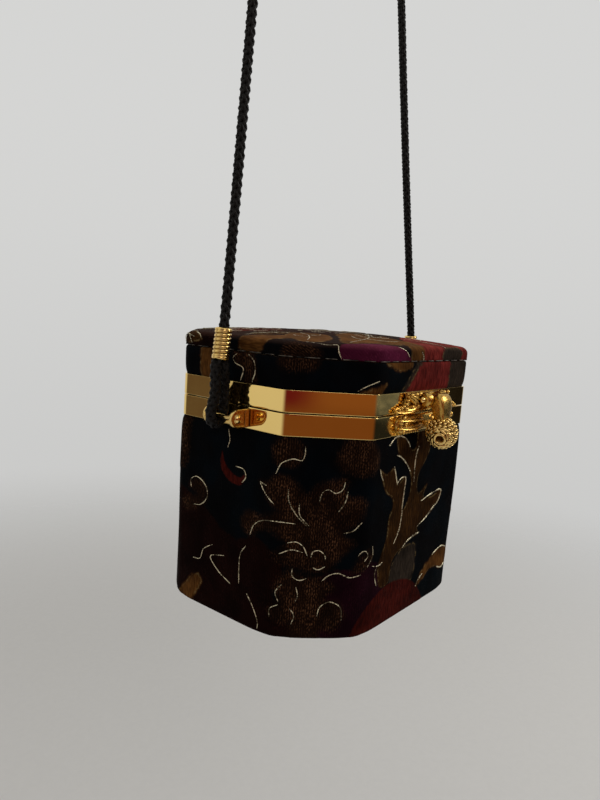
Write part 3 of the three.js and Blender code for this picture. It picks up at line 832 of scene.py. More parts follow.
# The lid's top: what shows along its rim, then flowers and leaves
TOP_FIELDS = {
    "maroon": [
        [(-76, 26), (-70, 2), (-44, -22), (-14, -26), (8, -12), (16, 14), (6, 44), (-14, 64), (-50, 56)],
    ],
    # Painted light: the top's plum as its brighter, lit copy.
    "lit_plum": [
        [(-59, -52), (-54, -46), (-46, -48), (-38, -51), (-30, -54.5), (-24, -58), (-20, -61), (-18, -66),
         (-22, -78), (-42, -72), (-54, -62)],
    ],
    "grey": [[(14, -62), (16, -58), (23, -57), (32, -57), (36, -60), (34, -66), (20, -68)]],
    # Painted light: the top's red as its brighter, lit copy.
    "lit_red": [
        [(-8, -80), (20, -86), (50, -78), (66, -56), (66, -30), (50, -22), (26, -28), (8, -38), (-3, -52)],
    ],
    "ochre": [
        [(-75, -17), (-68, -20), (-60, -26), (-54, -18), (-62, -5), (-74, -4)],
        [(-19, -78), (-9, -78), (-5, -60), (2, -44), (-4, -38), (-13, -48), (-18, -62)],
        [(-50, -45), (-38, -50), (-26, -54), (-12, -52), (2, -40), (4, -24), (-8, -18), (-24, -22),
         (-36, -32)],
        [(-64, -33), (-56, -38), (-44, -34), (-34, -22), (-40, -10), (-52, -14), (-60, -24)],
    ],
    "scroll": [
        [(-77, -32), (-70, -41), (-66, -45), (-62, -41), (-67, -33), (-72, -29)],
        [(22, -16), (34, -22), (50, -12), (62, 4), (54, 10), (38, 0), (26, -6)],
    ],
    "leaf": [],
}
TOP_STROKES = [
    [(-63, -34.5), (-60.5, -38), (-58, -42), (-54.5, -45), (-56.5, -47), (-58, -50.5)],
    [(-26, -57), (-21.5, -59.5), (-19.5, -62.5)],
    [(-8, -59.5), (-6.5, -61.5), (-6, -64)],
    [(24, -14), (36, -18), (48, -10), (58, 3)],
    [(28, -8), (38, -8), (46, -2), (50, 4)],
    [(-46, -45), (-32, -42), (-18, -36), (-6, -28), (0, -24)],
    [(-32, -42), (-30, -37), (-24, -30)],
    [(-18, -36), (-16, -30), (-11, -23)],
    [(-26, -40), (-18, -45), (-8, -46)],
    [(-12, -32), (-5, -36), (0, -36)],
    [(-60, -33), (-51, -27), (-44, -20), (-40, -13)],
    [(-51, -27), (-52, -22), (-50, -17)],
    [(-46, -22), (-40, -24), (-37, -22)],
    [(8, -38), (16, -44), (20, -52), (18, -58)],
    [(26, -30), (36, -36), (40, -45), (36, -54)],
    [(44, -26), (54, -31), (59, -40), (57, -49)],
    [(16, -36), (22, -41), (27, -38), (25, -34)],
    [(36, -29), (42, -35), (47, -32), (45, -27)],
    [(-66, 48), (-40, 46), (-20, 38), (-4, 22), (6, 2), (4, -20)],
    [(-4, 22), (14, 26), (22, 30)],
    [(64, 24), (52, 20), (44, 26)],
]
for name, centre, radius, petals in (
    ("red", (-40, 20), 17, 8),
    ("lit_plum", (34, 34), 16, 7),
    # A flower in the lit copy of plum: painted light.
    ("plum", (-14, -6), 13, 6),
    ("scroll", (0, 52), 10, 6),
):
    outline, strokes = flower_motif(centre, radius, petals)
    TOP_FIELDS.setdefault(name, []).append(outline)
    TOP_STROKES += strokes
for root, tip, wide, bend in (
    ((4, -20), (-14, -34), 5.5, 2), ((6, -8), (30, 8), 7, -3), ((2, 10), (18, 14), 5, 2),
    ((-20, 38), (-40, 54), 6, 3), ((-12, 30), (10, 40), 5.5, -2), ((-60, 0), (-38, -14), 6, 3),
    ((-64, 40), (-72, 20), 5, -2), ((60, 22), (62, -14), 6, 4), ((24, 52), (52, 54), 5.5, 2),
):
    outline, strokes = leaf_motif(root, tip, wide, bend)
    TOP_FIELDS["leaf"].append(outline)
    TOP_STROKES += strokes

# How far beside its edge a field is felt, how high the fields stand, and the sewn threads
FIELD_REACH = 5.0
TINY = 1e-9
PLACES_AT_ONCE = 4000
RELIEF = {"leaf": 0.26, "scroll": 0.18, "red": 0.18, "lit_red": 0.18, "ochre": 0.16, "plum": 0.08}
RELIEF_OUTSIDE = 0.3
RELIEF_SLOPE = 1.1
FINE_STROKE = 0.21
BROAD_STROKE = 0.33
STROKE_HIGH = 0.22
STROKE_STEP = 0.7
STROKE_TIP = 0.25
STROKE_WANDER = 0.18
STROKE_LIFT = 0.06
TOP_STROKE_HIGH = 0.09
TOP_STROKE_SINK = 0.04
SLOPE_REACH = 0.3


def depth_inside(places, outline):
    """How far each place lies inside a closed outline; negative outside, and no further than the reach."""
    depth = np.full(len(places), -FIELD_REACH)
    low = outline.min(axis=0) - FIELD_REACH
    high = outline.max(axis=0) + FIELD_REACH
    near = np.flatnonzero(np.all((places > low) & (places < high), axis=1))
    edge = np.roll(outline, -1, axis=0) - outline
    rise = np.where(np.abs(edge[:, 1]) < TINY, TINY, edge[:, 1])
    for part in np.array_split(near, max(1, len(near) // PLACES_AT_ONCE)):
        offset = places[part][:, None] - outline
        share = np.clip((offset * edge).sum(axis=2) / (edge ** 2).sum(axis=1), 0, 1)
        distance = np.linalg.norm(offset - share[..., None] * edge, axis=2).min(axis=1)
        level = offset[..., 1] / rise
        crossed = (level >= 0) & (level < 1) & (offset[..., 0] < level * edge[:, 0])
        inside = crossed.sum(axis=1) % 2 == 1
        depth[part] = np.maximum(np.where(inside, distance, -distance), -FIELD_REACH)
    return depth


def field_depths(places, fields, period=None):
    """The depth of each place in each field, with the fields repeated at the period if there is one."""
    shifts = (-period, 0, period) if period else (0,)
    depths = {}
    for name in FIELD_TONES:
        deepest = np.full(len(places), -FIELD_REACH)
        for outline in fields.get(name, []):
            smooth = smooth_line(outline, closed=True, steps=5)
            for shift in shifts:
                deepest = np.maximum(deepest, depth_inside(places, smooth + (shift, 0)))
        depths[name] = deepest
    return depths


def field_relief(depths):
    """The height of the woven fields over the ground, which they reach over a short slope at their edges."""
    height = np.zeros(len(depths["leaf"]))
    for name, rise in RELIEF.items():
        height = np.maximum(height, rise * eased((depths[name] + RELIEF_OUTSIDE) / RELIEF_SLOPE))
    return height


def cloth_fields(places, depths):
    """What the brocade reads from the mesh: the place on the cloth and the depths in the fields."""
    fields = {"cloth": at_level(places, 0)}
    for layer, names in MOTIF_LAYERS.items():
        fields[layer] = np.column_stack([depths[name] for name in names])
    return fields


# The cloth wall

wall_xy, wall_normal = rounded_octagon(COVER_INSET, COVER_ROUND, 8, cuts_by_step(CLOTH_STEP))
wall_closed = line_lengths(np.vstack([wall_xy, wall_xy[:1]]))
WALL_ROUND = wall_closed[-1]
cut_length = np.linalg.norm(octagon(COVER_INSET)[0] - octagon(COVER_INSET)[7])
wall_along = wall_closed[:-1] - cut_length / 2 + COVER_ROUND * math.tan(math.pi / 8)
wall_along = (wall_along + WALL_ROUND / 2) % WALL_ROUND - WALL_ROUND / 2
corner_gap = np.linalg.norm(wall_xy[:, None] - octagon(COVER_INSET)[None], axis=2).min(axis=1)
wall_softness = np.exp(-((corner_gap / CORNER_SOFT) ** 2))


def corner_pull(up):
    """How far the corners are drawn in at a height: the lower the softer."""
    return CORNER_PULL * eased((CORNER_PULL_FROM - up) / CORNER_PULL_RUN)


def on_wall(along, up, out):
    """Points on the wall's face and the wall's normals there."""
    order = np.argsort(wall_along)
    x, y, normal_x, normal_y, softness = (
        np.interp(along, wall_along[order], values[order], period=WALL_ROUND)
        for values in (*wall_xy.T, *wall_normal.T, wall_softness)
    )
    out = out - softness * corner_pull(up)
    normal = unit(np.column_stack([normal_x, normal_y, np.zeros(len(along))]))
    return np.column_stack([x, y, up]) + normal * np.reshape(out, (-1, 1)), normal


def cover_shell(shown_rows, hidden_rows):
    """A closed cloth shell round the box from rows of (up, out); only the shown rows carry the pattern."""
    rows = np.array([*shown_rows, *hidden_rows])
    columns = len(wall_along)
    along = np.tile(wall_along, len(rows))
    up, out = (np.repeat(values, columns) for values in rows.T)
    places = np.column_stack([along, up])
    depths = field_depths(places, WALL_FIELDS, WALL_ROUND / 2)
    shown = np.arange(len(places)) < len(shown_rows) * columns
    points, _ = on_wall(along, up, out + np.where(shown, field_relief(depths), 0))
    return grid(points.reshape(len(rows), columns, 3), wrap_rows=True), cloth_fields(places, depths)


def stroke(line, half_width, place, high=STROKE_HIGH):
    """A flat raised thread along a line of pattern places; place(line) gives its points and normals."""
    points, normals = place(spaced(smooth_line(line), STROKE_STEP))
    side = unit(np.cross(np.gradient(points, axis=0), normals))
    share = np.linspace(0, 1, len(points))
    taper = np.clip(np.minimum(share, 1 - share) * 6, 0, 1) ** 0.5
    wander = 1 + STROKE_WANDER * np.sin(share * len(points) * 0.55)
    half = half_width * (STROKE_TIP + (1 - STROKE_TIP) * taper) * wander
    ring = circle(1, 8)
    across = half[:, None, None] * ring[:, :1] * side[:, None]
    return capped(points[:, None] + across + high * ring[:, 1:] * normals[:, None])


def wall_strokes(lines, half_width):
    """The strokes on the wall, twice round the box."""
    def place(line):
        along, up = line.T
        relief = field_relief(field_depths(line, WALL_FIELDS, WALL_ROUND / 2))
        return on_wall(along, up, wall_swell(up) + relief + STROKE_LIFT)

    shells = []
    for line in lines:
        for turn in (0, WALL_ROUND / 2):
            shells.append(stroke(np.array(line) + (turn, 0), half_width, place))
    return shells


def swell(beyond, full):
    """How far the wadded cloth stands out at a distance beyond the band's edge, where it is tucked in."""
    return full * (1 - np.exp(-np.maximum(beyond, 0) / SWELL_RUN))


def wall_swell(up):
    """The swell at heights on the box."""
    return np.where(up < 0, swell(-BAND_HIGH - up, BODY_SWELL), swell(up - BAND_HIGH, LID_SWELL))


def make_body_cover():
    ups = np.arange(-COVER_HEM, BODY_BOTTOM + BODY_EDGE, -CLOTH_STEP)
    shown = list(zip(ups, wall_swell(ups)))
    for turn in np.linspace(0, math.pi / 2, 6):
        shown.append((
            BODY_BOTTOM + BODY_EDGE * (1 - math.sin(turn)),
            BODY_SWELL + BODY_EDGE * (math.cos(turn) - 1),
        ))
    shown.append((BODY_BOTTOM, -BODY_EDGE))
    hidden = [
        (BODY_BOTTOM + COVER_THICK, -BODY_EDGE),
        (BODY_BOTTOM + BODY_EDGE, -COVER_THICK),
        (-COVER_HEM, -COVER_THICK),
    ]
    shell, fields = cover_shell(shown, hidden)
    cover = make_piece("body_brocade", shell, BROCADE, "box", ["body_cover"], fields)
    strokes = joined(wall_strokes(WALL_STROKES, FINE_STROKE) + wall_strokes(LEAF_STROKES, BROAD_STROKE))
    threads = make_piece("body_gold_threads", strokes, GOLD_THREAD, "box")


def make_lid_wall():
    ups = np.linspace(COVER_HEM, LID_SEAM, 24)
    tuck = SEAM_TUCK * np.exp(-((LID_SEAM - ups) / SEAM_TUCK_RUN) ** 2)
    shown = list(zip(ups, wall_swell(ups) - tuck))
    hidden = [(LID_SEAM, -COVER_THICK), (COVER_HEM, -COVER_THICK)]
    shell, fields = cover_shell(shown, hidden)
    cover = make_piece("lid_wall_brocade", shell, BROCADE, "lid", ["lid_wall_cover"], fields)
    strokes = joined(wall_strokes(LID_STROKES, FINE_STROKE))
    threads = make_piece("lid_gold_threads", strokes, GOLD_THREAD, "lid")


# The padded lid top and the base panel

def panel_rings(side, roll_share, roll, crown, ring_step):
    """Scales of the outline and heights: up the side from its foot, round the edge, then to the middle."""
    rings = [(0.988, 0), (0.996, 0.25)]
    rings += [(1, height) for height in np.linspace(0.6, side, max(2, round(side / ring_step)))]
    for turn in np.linspace(0, math.pi / 2, 8)[1:]:
        scale = 1 - roll_share * (1 - math.cos(turn))
        rings.append((scale, side + roll * math.sin(turn) + crown * (1 - scale ** 2)))
    count = round((1 - roll_share) * HALF_DEPTH / ring_step)
    for scale in np.linspace(1 - roll_share, 0, count + 1)[1:]:
        rings.append((scale, side + roll + crown * (1 - scale ** 2)))
    return np.array(rings)


def panel_shell(outline, normals, rings, foot, up_sign, fields):
    """A cloth panel over rings of the outline, puckered at its rim; its pattern lies on the flat cloth."""
    scale, height = rings.T
    points = np.empty((len(rings), len(outline), 3))
    points[..., :2] = outline * scale[:, None, None]
    points[..., 2] = foot + up_sign * height[:, None]
    steps = np.linalg.norm(np.diff(points, axis=0), axis=2)
    lengths = np.vstack([np.cumsum(steps[::-1], axis=0)[::-1], np.zeros(len(outline))])
    places = (unit(outline) * lengths[..., None]).reshape(-1, 2)
    depths = field_depths(places, fields)
    relief = field_relief(depths).reshape(len(rings), -1)
    column = np.arange(len(outline))
    pucker = PANEL_PUCKER * np.sin(column * 0.9) * np.sin(column * 0.23)
    near_rim = np.exp(-((np.arange(len(rings)) / PUCKER_RINGS) ** 2))
    points[..., 2] += up_sign * relief * np.clip(1.2 - scale[:, None] ** 12, 0, 1)
    points[..., :2] += normals * (near_rim[:, None] * pucker)[..., None]
    underside = at_level(outline * PANEL_UNDERSIDE, foot)
    shell_points, faces = grid(np.concatenate([underside[None], points]))
    faces.append(list(range(len(outline))))
    blank = np.zeros((len(outline), 3))
    packed = {}
    for key, values in cloth_fields(places, depths).items():
        packed[key] = np.vstack([blank if key == "cloth" else blank - FIELD_REACH, values])
    return (shell_points, faces), packed


def on_top(places, rings):
    """Points and normals on the padded top for places of its flat cloth."""
    corners = octagon(PANEL_INSET)
    edges = unit(corners - np.roll(corners, 1, axis=0))
    outward = np.column_stack([edges[:, 1], -edges[:, 0]])
    reach = (corners * outward).sum(axis=1)
    height = rings[::-1, 1]
    points = []
    normals = []
    for place in places:
        far = np.linalg.norm(place)
        way = place / max(far, 1e-6)
        across = rings[::-1, 0] * (reach / np.maximum(outward @ way, 1e-6)).min()
        lengths = line_lengths(np.column_stack([across, height]))
        span = (far - SLOPE_REACH, far + SLOPE_REACH)
        near_across, far_across = np.interp(span, lengths, across)
        near_height, far_height = np.interp(span, lengths, height)
        middle = (near_across + far_across) / 2
        points.append((*(way * middle), PANEL_BOTTOM + (near_height + far_height) / 2))
        normals.append((*(way * (near_height - far_height)), far_across - near_across + 1e-6))
    return np.array(points), unit(np.array(normals))


def make_lid_top():
    outline, normals = rounded_octagon(PANEL_INSET, COVER_ROUND, 8, cuts_by_step(CLOTH_STEP))
    rings = panel_rings(PANEL_SIDE, PANEL_ROLL_SHARE, PANEL_ROLL, PANEL_CROWN, CLOTH_STEP)
    shell, fields = panel_shell(outline, normals, rings, PANEL_BOTTOM, 1, TOP_FIELDS)
    top = make_piece("lid_top_brocade", shell, BROCADE, "lid", ["lid_top_panel"], fields)

    def place(line):
        points, normals = on_top(line, rings)
        lift = field_relief(field_depths(line, TOP_FIELDS)) - TOP_STROKE_SINK
        return points + normals * lift[:, None], normals

    threads = joined([stroke(line, FINE_STROKE, place, TOP_STROKE_HIGH) for line in TOP_STROKES])
    make_piece("lid_top_gold_threads", threads, GOLD_THREAD, "lid")


def make_seam():
    """The worn seam between the lid's wall and its padded top: short threads of uneven lengths."""
    outline, _ = rounded_octagon(PANEL_INSET, COVER_ROUND, 8, cuts_by_step(CLOTH_STEP))
    path = at_level(spaced(np.vstack([outline, outline[:1]]), SEAM_STEP), PANEL_BOTTOM + SEAM_UP)
    shells = []
    start = 0
    while start < len(path) - 12:
        count = 4 + start * 7 % 9
        shells.append(tube(path[start:start + count], SEAM_THREAD, 6))
        start += count + 1 + start % 3
    make_piece("lid_seam_thread", joined(shells), SEAM, "lid")


def make_base():
    outline, normals = rounded_octagon(BASE_INSET, COVER_ROUND - 1, 8, cuts_by_step(BASE_STEP))
    rings = panel_rings(BASE_SIDE, BASE_ROLL_SHARE, BASE_TOP - BASE_BOTTOM - BASE_SIDE, 0, BASE_STEP)
    shell, fields = panel_shell(outline, normals, rings, BASE_TOP, -1, {})
    base = make_piece("base_brocade", shell, BROCADE, "box", ["base_cover"], fields)


make_body_cover()
make_lid_wall()
make_lid_top()
make_seam()
make_base()


# Gilt bands

def band_shell(sign):
    """One channel: a closed section of (inset, up) round the octagon; sign is 1 for the lid's band."""
    section = [
        (BAND_WALL, BAND_HIGH), (0.3, BAND_HIGH), (0.1, BAND_HIGH), (0.03, BAND_HIGH - 0.03),
        (0, BAND_HIGH - 0.1), (0, BAND_HIGH - 0.4), (0, BAND_LOW + 0.5), (0, BAND_LOW + 0.14),
        (0.04, BAND_LOW + 0.04), (0.14, BAND_LOW), (0.4, BAND_LOW), (1.2, BAND_LOW),
        (BAND_DEEP - 0.8, BAND_LOW), (BAND_DEEP - 0.3, BAND_LOW), (BAND_DEEP - 0.08, BAND_LOW + 0.08),
        (BAND_DEEP, BAND_LOW + 0.3), (BAND_DEEP, BAND_HIGH - 0.4), (BAND_DEEP - 0.2, BAND_HIGH),
        (BAND_INNER, BAND_HIGH), (BAND_INNER, BAND_WEB), (BAND_WALL, BAND_WEB),
    ]
    loops = []
    for inset, up in section:
        loop, _ = rounded_octagon(inset, max(BAND_CORNER_ROUND - inset, 1.0), 8, cuts_near_ends(0.5))
        loops.append(at_level(loop, sign * up))
    return grid(np.stack(loops), wrap_rows=True)


make_piece("upper_band", band_shell(1), POLISHED, "lid", ["upper_frame"], sharp=60)
make_piece("lower_band", band_shell(-1), POLISHED, "box", ["lower_frame"], sharp=60)


# Braided cord

def braid(path, thick):
    """Four strands each way round a path, over and under each other, on a thin core."""
    path = spaced(path, BRAID_PITCH / BRAID_STEPS)
    side, up = path_frames(path)
    turn = 2 * math.pi * line_lengths(path) / BRAID_PITCH
    strand = BRAID_STRAND_SHARE * thick
    lift = BRAID_LIFT_SHARE * thick
    middle = thick / 2 - strand - lift
    shells = [tube(path, BRAID_CORE_SHARE * thick, 8)]
    for way in (1, -1):
        height = middle + lift * way * np.cos(4 * turn)
        for quarter in range(4):
            angle = (way * turn + quarter * math.pi / 2)[:, None]
            line = path + height[:, None] * (np.cos(angle) * side + np.sin(angle) * up)
            shells.append(tube(line, strand, 7))
    return joined(shells)


def loop_path(side):
    """From the ferrule's foot round the lug pin and back; the route is (out, back, up) from the pin."""
    foot = FERRULE_UP - 0.2
    bow = [(-4.1, 9), (-3.8, 1), (-2.6, -2.6), (0, -3.7), (2.6, -2.6), (3.5, 1), (1.6, 9)]
    route = [(-0.4, 0, foot), (-1.4, 0.3, 19)]
    route += [(out, LOOP_SHIFT, up) for out, up in bow]
    route += [(3.5, 0.3, 19), (3.8, 0, foot)]
    return smooth_line([
        (side * (LUG_PIN_OUT + out), LOOP_BACK[side] + back, LUG_PIN_UP + up) for out, back, up in route
    ])


def ferrule_shell(side):
    """A close coil of wire on a sleeve, closed by a ring at each end."""
    foot = np.array((side * (LUG_PIN_OUT + FERRULE_OUT), LOOP_BACK[side], LUG_PIN_UP + FERRULE_UP))
    axis = np.array((-side * math.sin(FERRULE_LEAN), 0, math.cos(FERRULE_LEAN)))
    across = np.array((math.cos(FERRULE_LEAN), 0, side * math.sin(FERRULE_LEAN)))
    deep = np.array((0.0, 1.0, 0.0))
    wire = FERRULE_LENGTH / FERRULE_TURNS / 2
    middle = FERRULE_RADIUS - wire

    def wound(turns, rise):
        turns = turns[:, None]
        return foot + axis * rise + middle * (np.cos(turns) * across + np.sin(turns) * deep)

    count = FERRULE_TURNS - 1
    turns = np.linspace(0, 2 * math.pi * count, COIL_STEPS * count + 1)
    coil = wound(turns, wire + (FERRULE_LENGTH - 2 * wire) * turns[:, None] / turns[-1])
    sleeve = np.linspace(foot + axis * 0.5, foot + axis * (FERRULE_LENGTH - 0.5), 5)
    shells = [tube(sleeve, middle + 0.1, 24), tube(coil, wire, 10)]
    for rise in (wire, FERRULE_LENGTH - wire):
        shells.append(tube(wound(full_turn(COIL_STEPS), rise), wire, 10, closed=True))
    return joined(shells)


def make_strap():
    route = smooth_line(STRAP_ROUTE, steps=24)
    cord = make_piece("strap_braid", braid(route, CORD_THICK), CORD, "box", ["strap_cord"])
    for side, word in ((-1, "left"), (1, "right")):
        loop = braid(loop_path(side), LOOP_THICK)
        make_piece(f"loop_braid_{word}", loop, CORD, "box", [f"strap_loop_{word}"])
        ferrule = ferrule_shell(side)
        make_piece(f"ferrule_{word}", ferrule, CAST, "box", [f"strap_ferrule_{word}"])


make_strap()


# Lugs

def ear_shell(side, back):
    """A round-ended ear with a rim, a ridge and a ring about its rivet, standing out from the band."""
    around = full_turn(48)
    foot = LUG_PIN_OUT - HALF_WIDTH - 0.2
    to_foot = foot / np.maximum(-np.cos(around), 1e-6)
    to_flank = EAR_RADIUS / np.maximum(np.abs(np.sin(around)), 1e-6)
    reach = np.where(np.cos(around) < 0, np.minimum(to_foot, to_flank), EAR_RADIUS)
    half = EAR_THICK / 2
    steps = [
        (0, 0), (0.36, 0), (0.4, 0.14), (0.5, 0.14), (0.55, -0.12), (0.78, -0.12), (0.83, 0.05), (0.95, 0.05),
        (1, -0.2),
    ]
    rows = [(share, half + lift) for share, lift in steps]
    rows += [(share, -half - lift) for share, lift in reversed(steps)]
    rings = []
    for share, lift in rows:
        x = side * (LUG_PIN_OUT + share * reach * np.cos(around))
        z = LUG_PIN_UP + share * reach * np.sin(around)
        rings.append(np.column_stack([x, np.full(len(around), back - lift), z]))
    ridge_x = side * (HALF_WIDTH + EAR_RIDGE_OUT)
    low = (ridge_x - EAR_RIDGE_HALF, back - half - 0.3, LUG_PIN_UP - EAR_RADIUS + 0.1)
    high = (ridge_x + EAR_RIDGE_HALF, back + half + 0.3, LUG_PIN_UP + EAR_RADIUS - 0.1)
    return joined([grid(np.stack(rings)), block(low, high, 0.2)])


def pin_shell(side):
    """The lug pin with a domed head outside each ear."""
    middle = sum(LUG_EARS_BACK) / 2
    reach = (LUG_EARS_BACK[1] - LUG_EARS_BACK[0] + EAR_THICK) / 2
    half = [(0, -reach - 1.2)]
    for turn in np.linspace(0.25, 1, 5) * math.pi / 2:
        half.append((PIN_HEAD * math.sin(turn), -reach - 0.1 - 1.1 * math.cos(turn)))
    half.append((PIN_RADIUS, -reach))
    profile = half + [(radius, -along) for radius, along in reversed(half)]
    return lathe(profile, (side * LUG_PIN_OUT, middle, LUG_PIN_UP), "y", 24)


for side, word in ((-1, "left"), (1, "right")):
    for back, place in zip(LUG_EARS_BACK, ("front", "rear")):
        name = f"lug_ear_{word}_{place}"
        make_piece(f"{name}_casting", ear_shell(side, back), CAST, "box", [name], sharp=40)
    make_piece(f"lug_rivet_{word}", pin_shell(side), POLISHED, "box", [f"lug_pin_{word}"])


# Clasp

def front(x, out, up):
    return np.array((x, -(HALF_DEPTH + out), up))


def petal(side, root, tip, wide, high, bend):
    """A raised leaf on one side of a plate, from root to tip as (x, up), with a groove along its middle."""
    root = np.array((side * root[0], root[1]), float)
    along = np.array((side * tip[0], tip[1]), float) - root
    across = unit(np.array((-along[1], along[0])))
    spans = np.array((-1, -0.8, -0.5, -0.18, 0, 0.18, 0.5, 0.8, 1, 0.6, -0.6))
    rise = np.array((0, 0.6, 1, 0.85, 0.55, 0.85, 1, 0.6, 0, -0.3, -0.3))
    rings = []
    for share in np.linspace(0, 1, 13):
        width = math.sin(math.pi * share ** 0.75) ** 0.65 if 0 < share < 1 else 0.0
        centre = root + along * share + across * side * bend * math.sin(math.pi * share)
        flat = centre + across * (wide / 2 * width * spans)[:, None]
        rings.append([front(x, PLATE_FRONT + high * width * lift, up) for (x, up), lift in zip(flat, rise)])
    return grid(np.array(rings))


def slab(half):
    """A plate with a rounded front edge, over the right half of its outline as (x, up)."""
    outline = smooth_line(half, steps=3)
    outline = np.vstack([outline, outline[::-1] * (-1, 1)])
    inward = unit(outline.mean(axis=0) - outline)
    rings = []
    for shrink, out in ((0.2, PLATE_BACK), (0, PLATE_BACK + 0.1), (0.1, 0.6), (0.7, 1.2), (2.0, PLATE_FRONT)):
        rings.append([front(x, out, up) for x, up in outline + inward * shrink])
    return capped(rings)


def beads(side, places, radius, out):
    return [ball(front(side * x, out, up), radius) for x, up in places]


def pillow(profile, half_width, flanks):
    """A solid across x over a closed profile of (out, up), with flanks of (share of the width, scale)."""
    middle = profile.mean(axis=0)
    rings = []
    for share, scale in flanks:
        shape = middle + (profile - middle) * scale
        rings.append([front(share * half_width(up), out, up) for out, up in shape])
    return capped(rings)


def make_clasp_plate():
    """The upper casting: leaves and beads on a stepped plate, and the two ears of the lever's pin."""
    shells = [slab([(29, 0.7), (27, 2.2), (23.8, 3.1), (20.4, 4.3), (18.9, 6.2), (18.2, 9.2)])]
    leaves = (
        ((8, 2.2), (28.6, 1.4), 2.8, 1.2, -0.4),
        ((10, 4.4), (23.6, 2.6), 3.4, 1.6, -0.8),
        ((13, 3.6), (19.8, 7.6), 3.0, 2.0, 0.8),
        ((9, 5.2), (16.6, 9.0), 3.4, 2.0, -0.8),
        ((9, 7.4), (19.0, 8.2), 2.6, 1.6, 0.5),
    )
    ear = [
        (0, -1.9), (2.6, -1.9), (3.2, -1.5), (3.35, -0.9), (3.1, -0.4), (3.1, 0.4), (3.35, 0.9), (3.2, 1.5),
        (2.6, 1.9), (1.9, 2.1), (0, 2.1),
    ]
    slope = [(28.2, 1.3), (26.2, 2.3), (24.2, 2.9), (22.2, 3.5), (20.4, 4.4), (19.3, 6.0), (18.7, 7.6)]
    bead_rows = (
        ([(17.6, 8.4), (13.4, 8.5), (10.4, 8.7)], 1.2, 0.8),
        (slope, 0.85, 0),
        ([(10 + 2.1 * k, 1.1) for k in range(8)], 0.6, 0.2),
        ([(10.8, 3.4), (16.4, 3.0), (21.4, 2.6)], 1.1, 0.7),
    )
    for side in (-1, 1):
        shells += [petal(side, *leaf) for leaf in leaves]
        shells.append(block(front(side * 6.9 - 1.8, 4.2, 3.6), front(side * 6.9 + 1.8, 1.0, 9.0), 0.4))
        ear_at = front(side * 7.1, LEVER_AXIS_OUT, LEVER_AXIS_UP)
        shells.append(lathe([(radius, side * x) for radius, x in ear], ear_at, "x", 28))
        for places, radius, lift in bead_rows:
            shells += beads(side, places, radius, PLATE_FRONT + lift)
    make_piece("clasp_upper_casting", joined(shells), AMBER, "lid", ["clasp_plate"], sharp=60)


def make_clasp_pin():
    """The lever's cross pin with a bead at each end."""
    half = [(0, -11.9)]
    for turn in np.linspace(0.2, 0.85, 6) * math.pi:
        half.append((1.4 * math.sin(turn), -10.5 - 1.4 * math.cos(turn)))
    half.append((PIN_RADIUS, -9.2))
    profile = half + [(radius, -x) for radius, x in reversed(half)]
    shell = lathe(profile, front(0, LEVER_AXIS_OUT, LEVER_AXIS_UP), "x", 20)
    make_piece("clasp_hinge_pin", shell, POLISHED, "lid", ["clasp_pin"])


def make_clasp_catch():
    """The lower casting: two leaves and beads to each side, and the bead that the knob closes over."""
    shells = [slab([(23.4, -0.9), (25.6, -3.0), (25.4, -6.4), (22.0, -8.6)])]
    shells.append(ball(front(0, 1.9, -6.2), 1.5, segments=16))
    for side in (-1, 1):
        shells.append(petal(side, (3, -2.8), (25.4, -2.6), 3.4, 1.8, 0.3))
        shells.append(petal(side, (3, -6.0), (25.6, -6.1), 3.6, 1.7, -0.3))
        shells += beads(side, [(24.3, -3.1), (24.4, -6.7)], 1.5, PLATE_FRONT + 0.2)
        shells += beads(side, [(22.0, -1.7), (20.2, -4.4), (21.6, -8.0)], 1.0, PLATE_FRONT + 0.4)
        shells += beads(side, [(8 + 2 * k, -8.4) for k in range(7)], 0.6, PLATE_FRONT)
    make_piece("clasp_lower_casting", joined(shells), AMBER, "box", ["clasp_catch"], sharp=60)


def make_clasp_lever():
    """A thick smooth tongue from the barrel, out over the ears and down to the knob."""
    profile = smooth_line([
        (4.4, 8.3), (6.4, 8.3), (8.0, 9.3), (9.9, 8.9), (11.5, 6.6), (12.1, 3.0), (12.0, -0.6), (12.3, -3.6),
        (10.4, -5.0), (8.2, -4.2), (6.8, -1.8), (5.8, 1.2), (5.0, 3.6), (4.2, 6.3),
    ], closed=True, steps=4)

    def half_width(up):
        return np.interp(up, (-5, -1, 4, 7, 10), (3.4, 4.0, 4.9, 5.0, 4.4))

    flanks = [(-1, 0.5), (-0.985, 0.72), (-0.93, 0.88), (-0.84, 0.96), (-0.7, 1.0)]
    flanks += [(-share, scale) for share, scale in reversed(flanks)]
    barrel = lathe(
        [(1.05, -4.5), (1.9, -4.5), (2.2, -4.2), (2.2, 4.2), (1.9, 4.5), (1.05, 4.5), (1.05, -4.5)],
        front(0, LEVER_AXIS_OUT, LEVER_AXIS_UP), "x", 24,
    )
    collar = beads(1, [(x, -3.2) for x in (-3.2, -1.1, 1.1, 3.2)], 1.25, 11.4)
    shell = joined([pillow(profile, half_width, flanks), barrel, *collar])
    make_piece("clasp_lever_arm", shell, AMBER, "clasp", ["clasp_lever"], sharp=60)


def flat_backed(points):
    """The knob's points, none nearer to the band than its flat back."""
    kept = points.copy()
    kept[:, 1] = np.minimum(kept[:, 1], -(HALF_DEPTH + KNOB_BACK))
    return kept


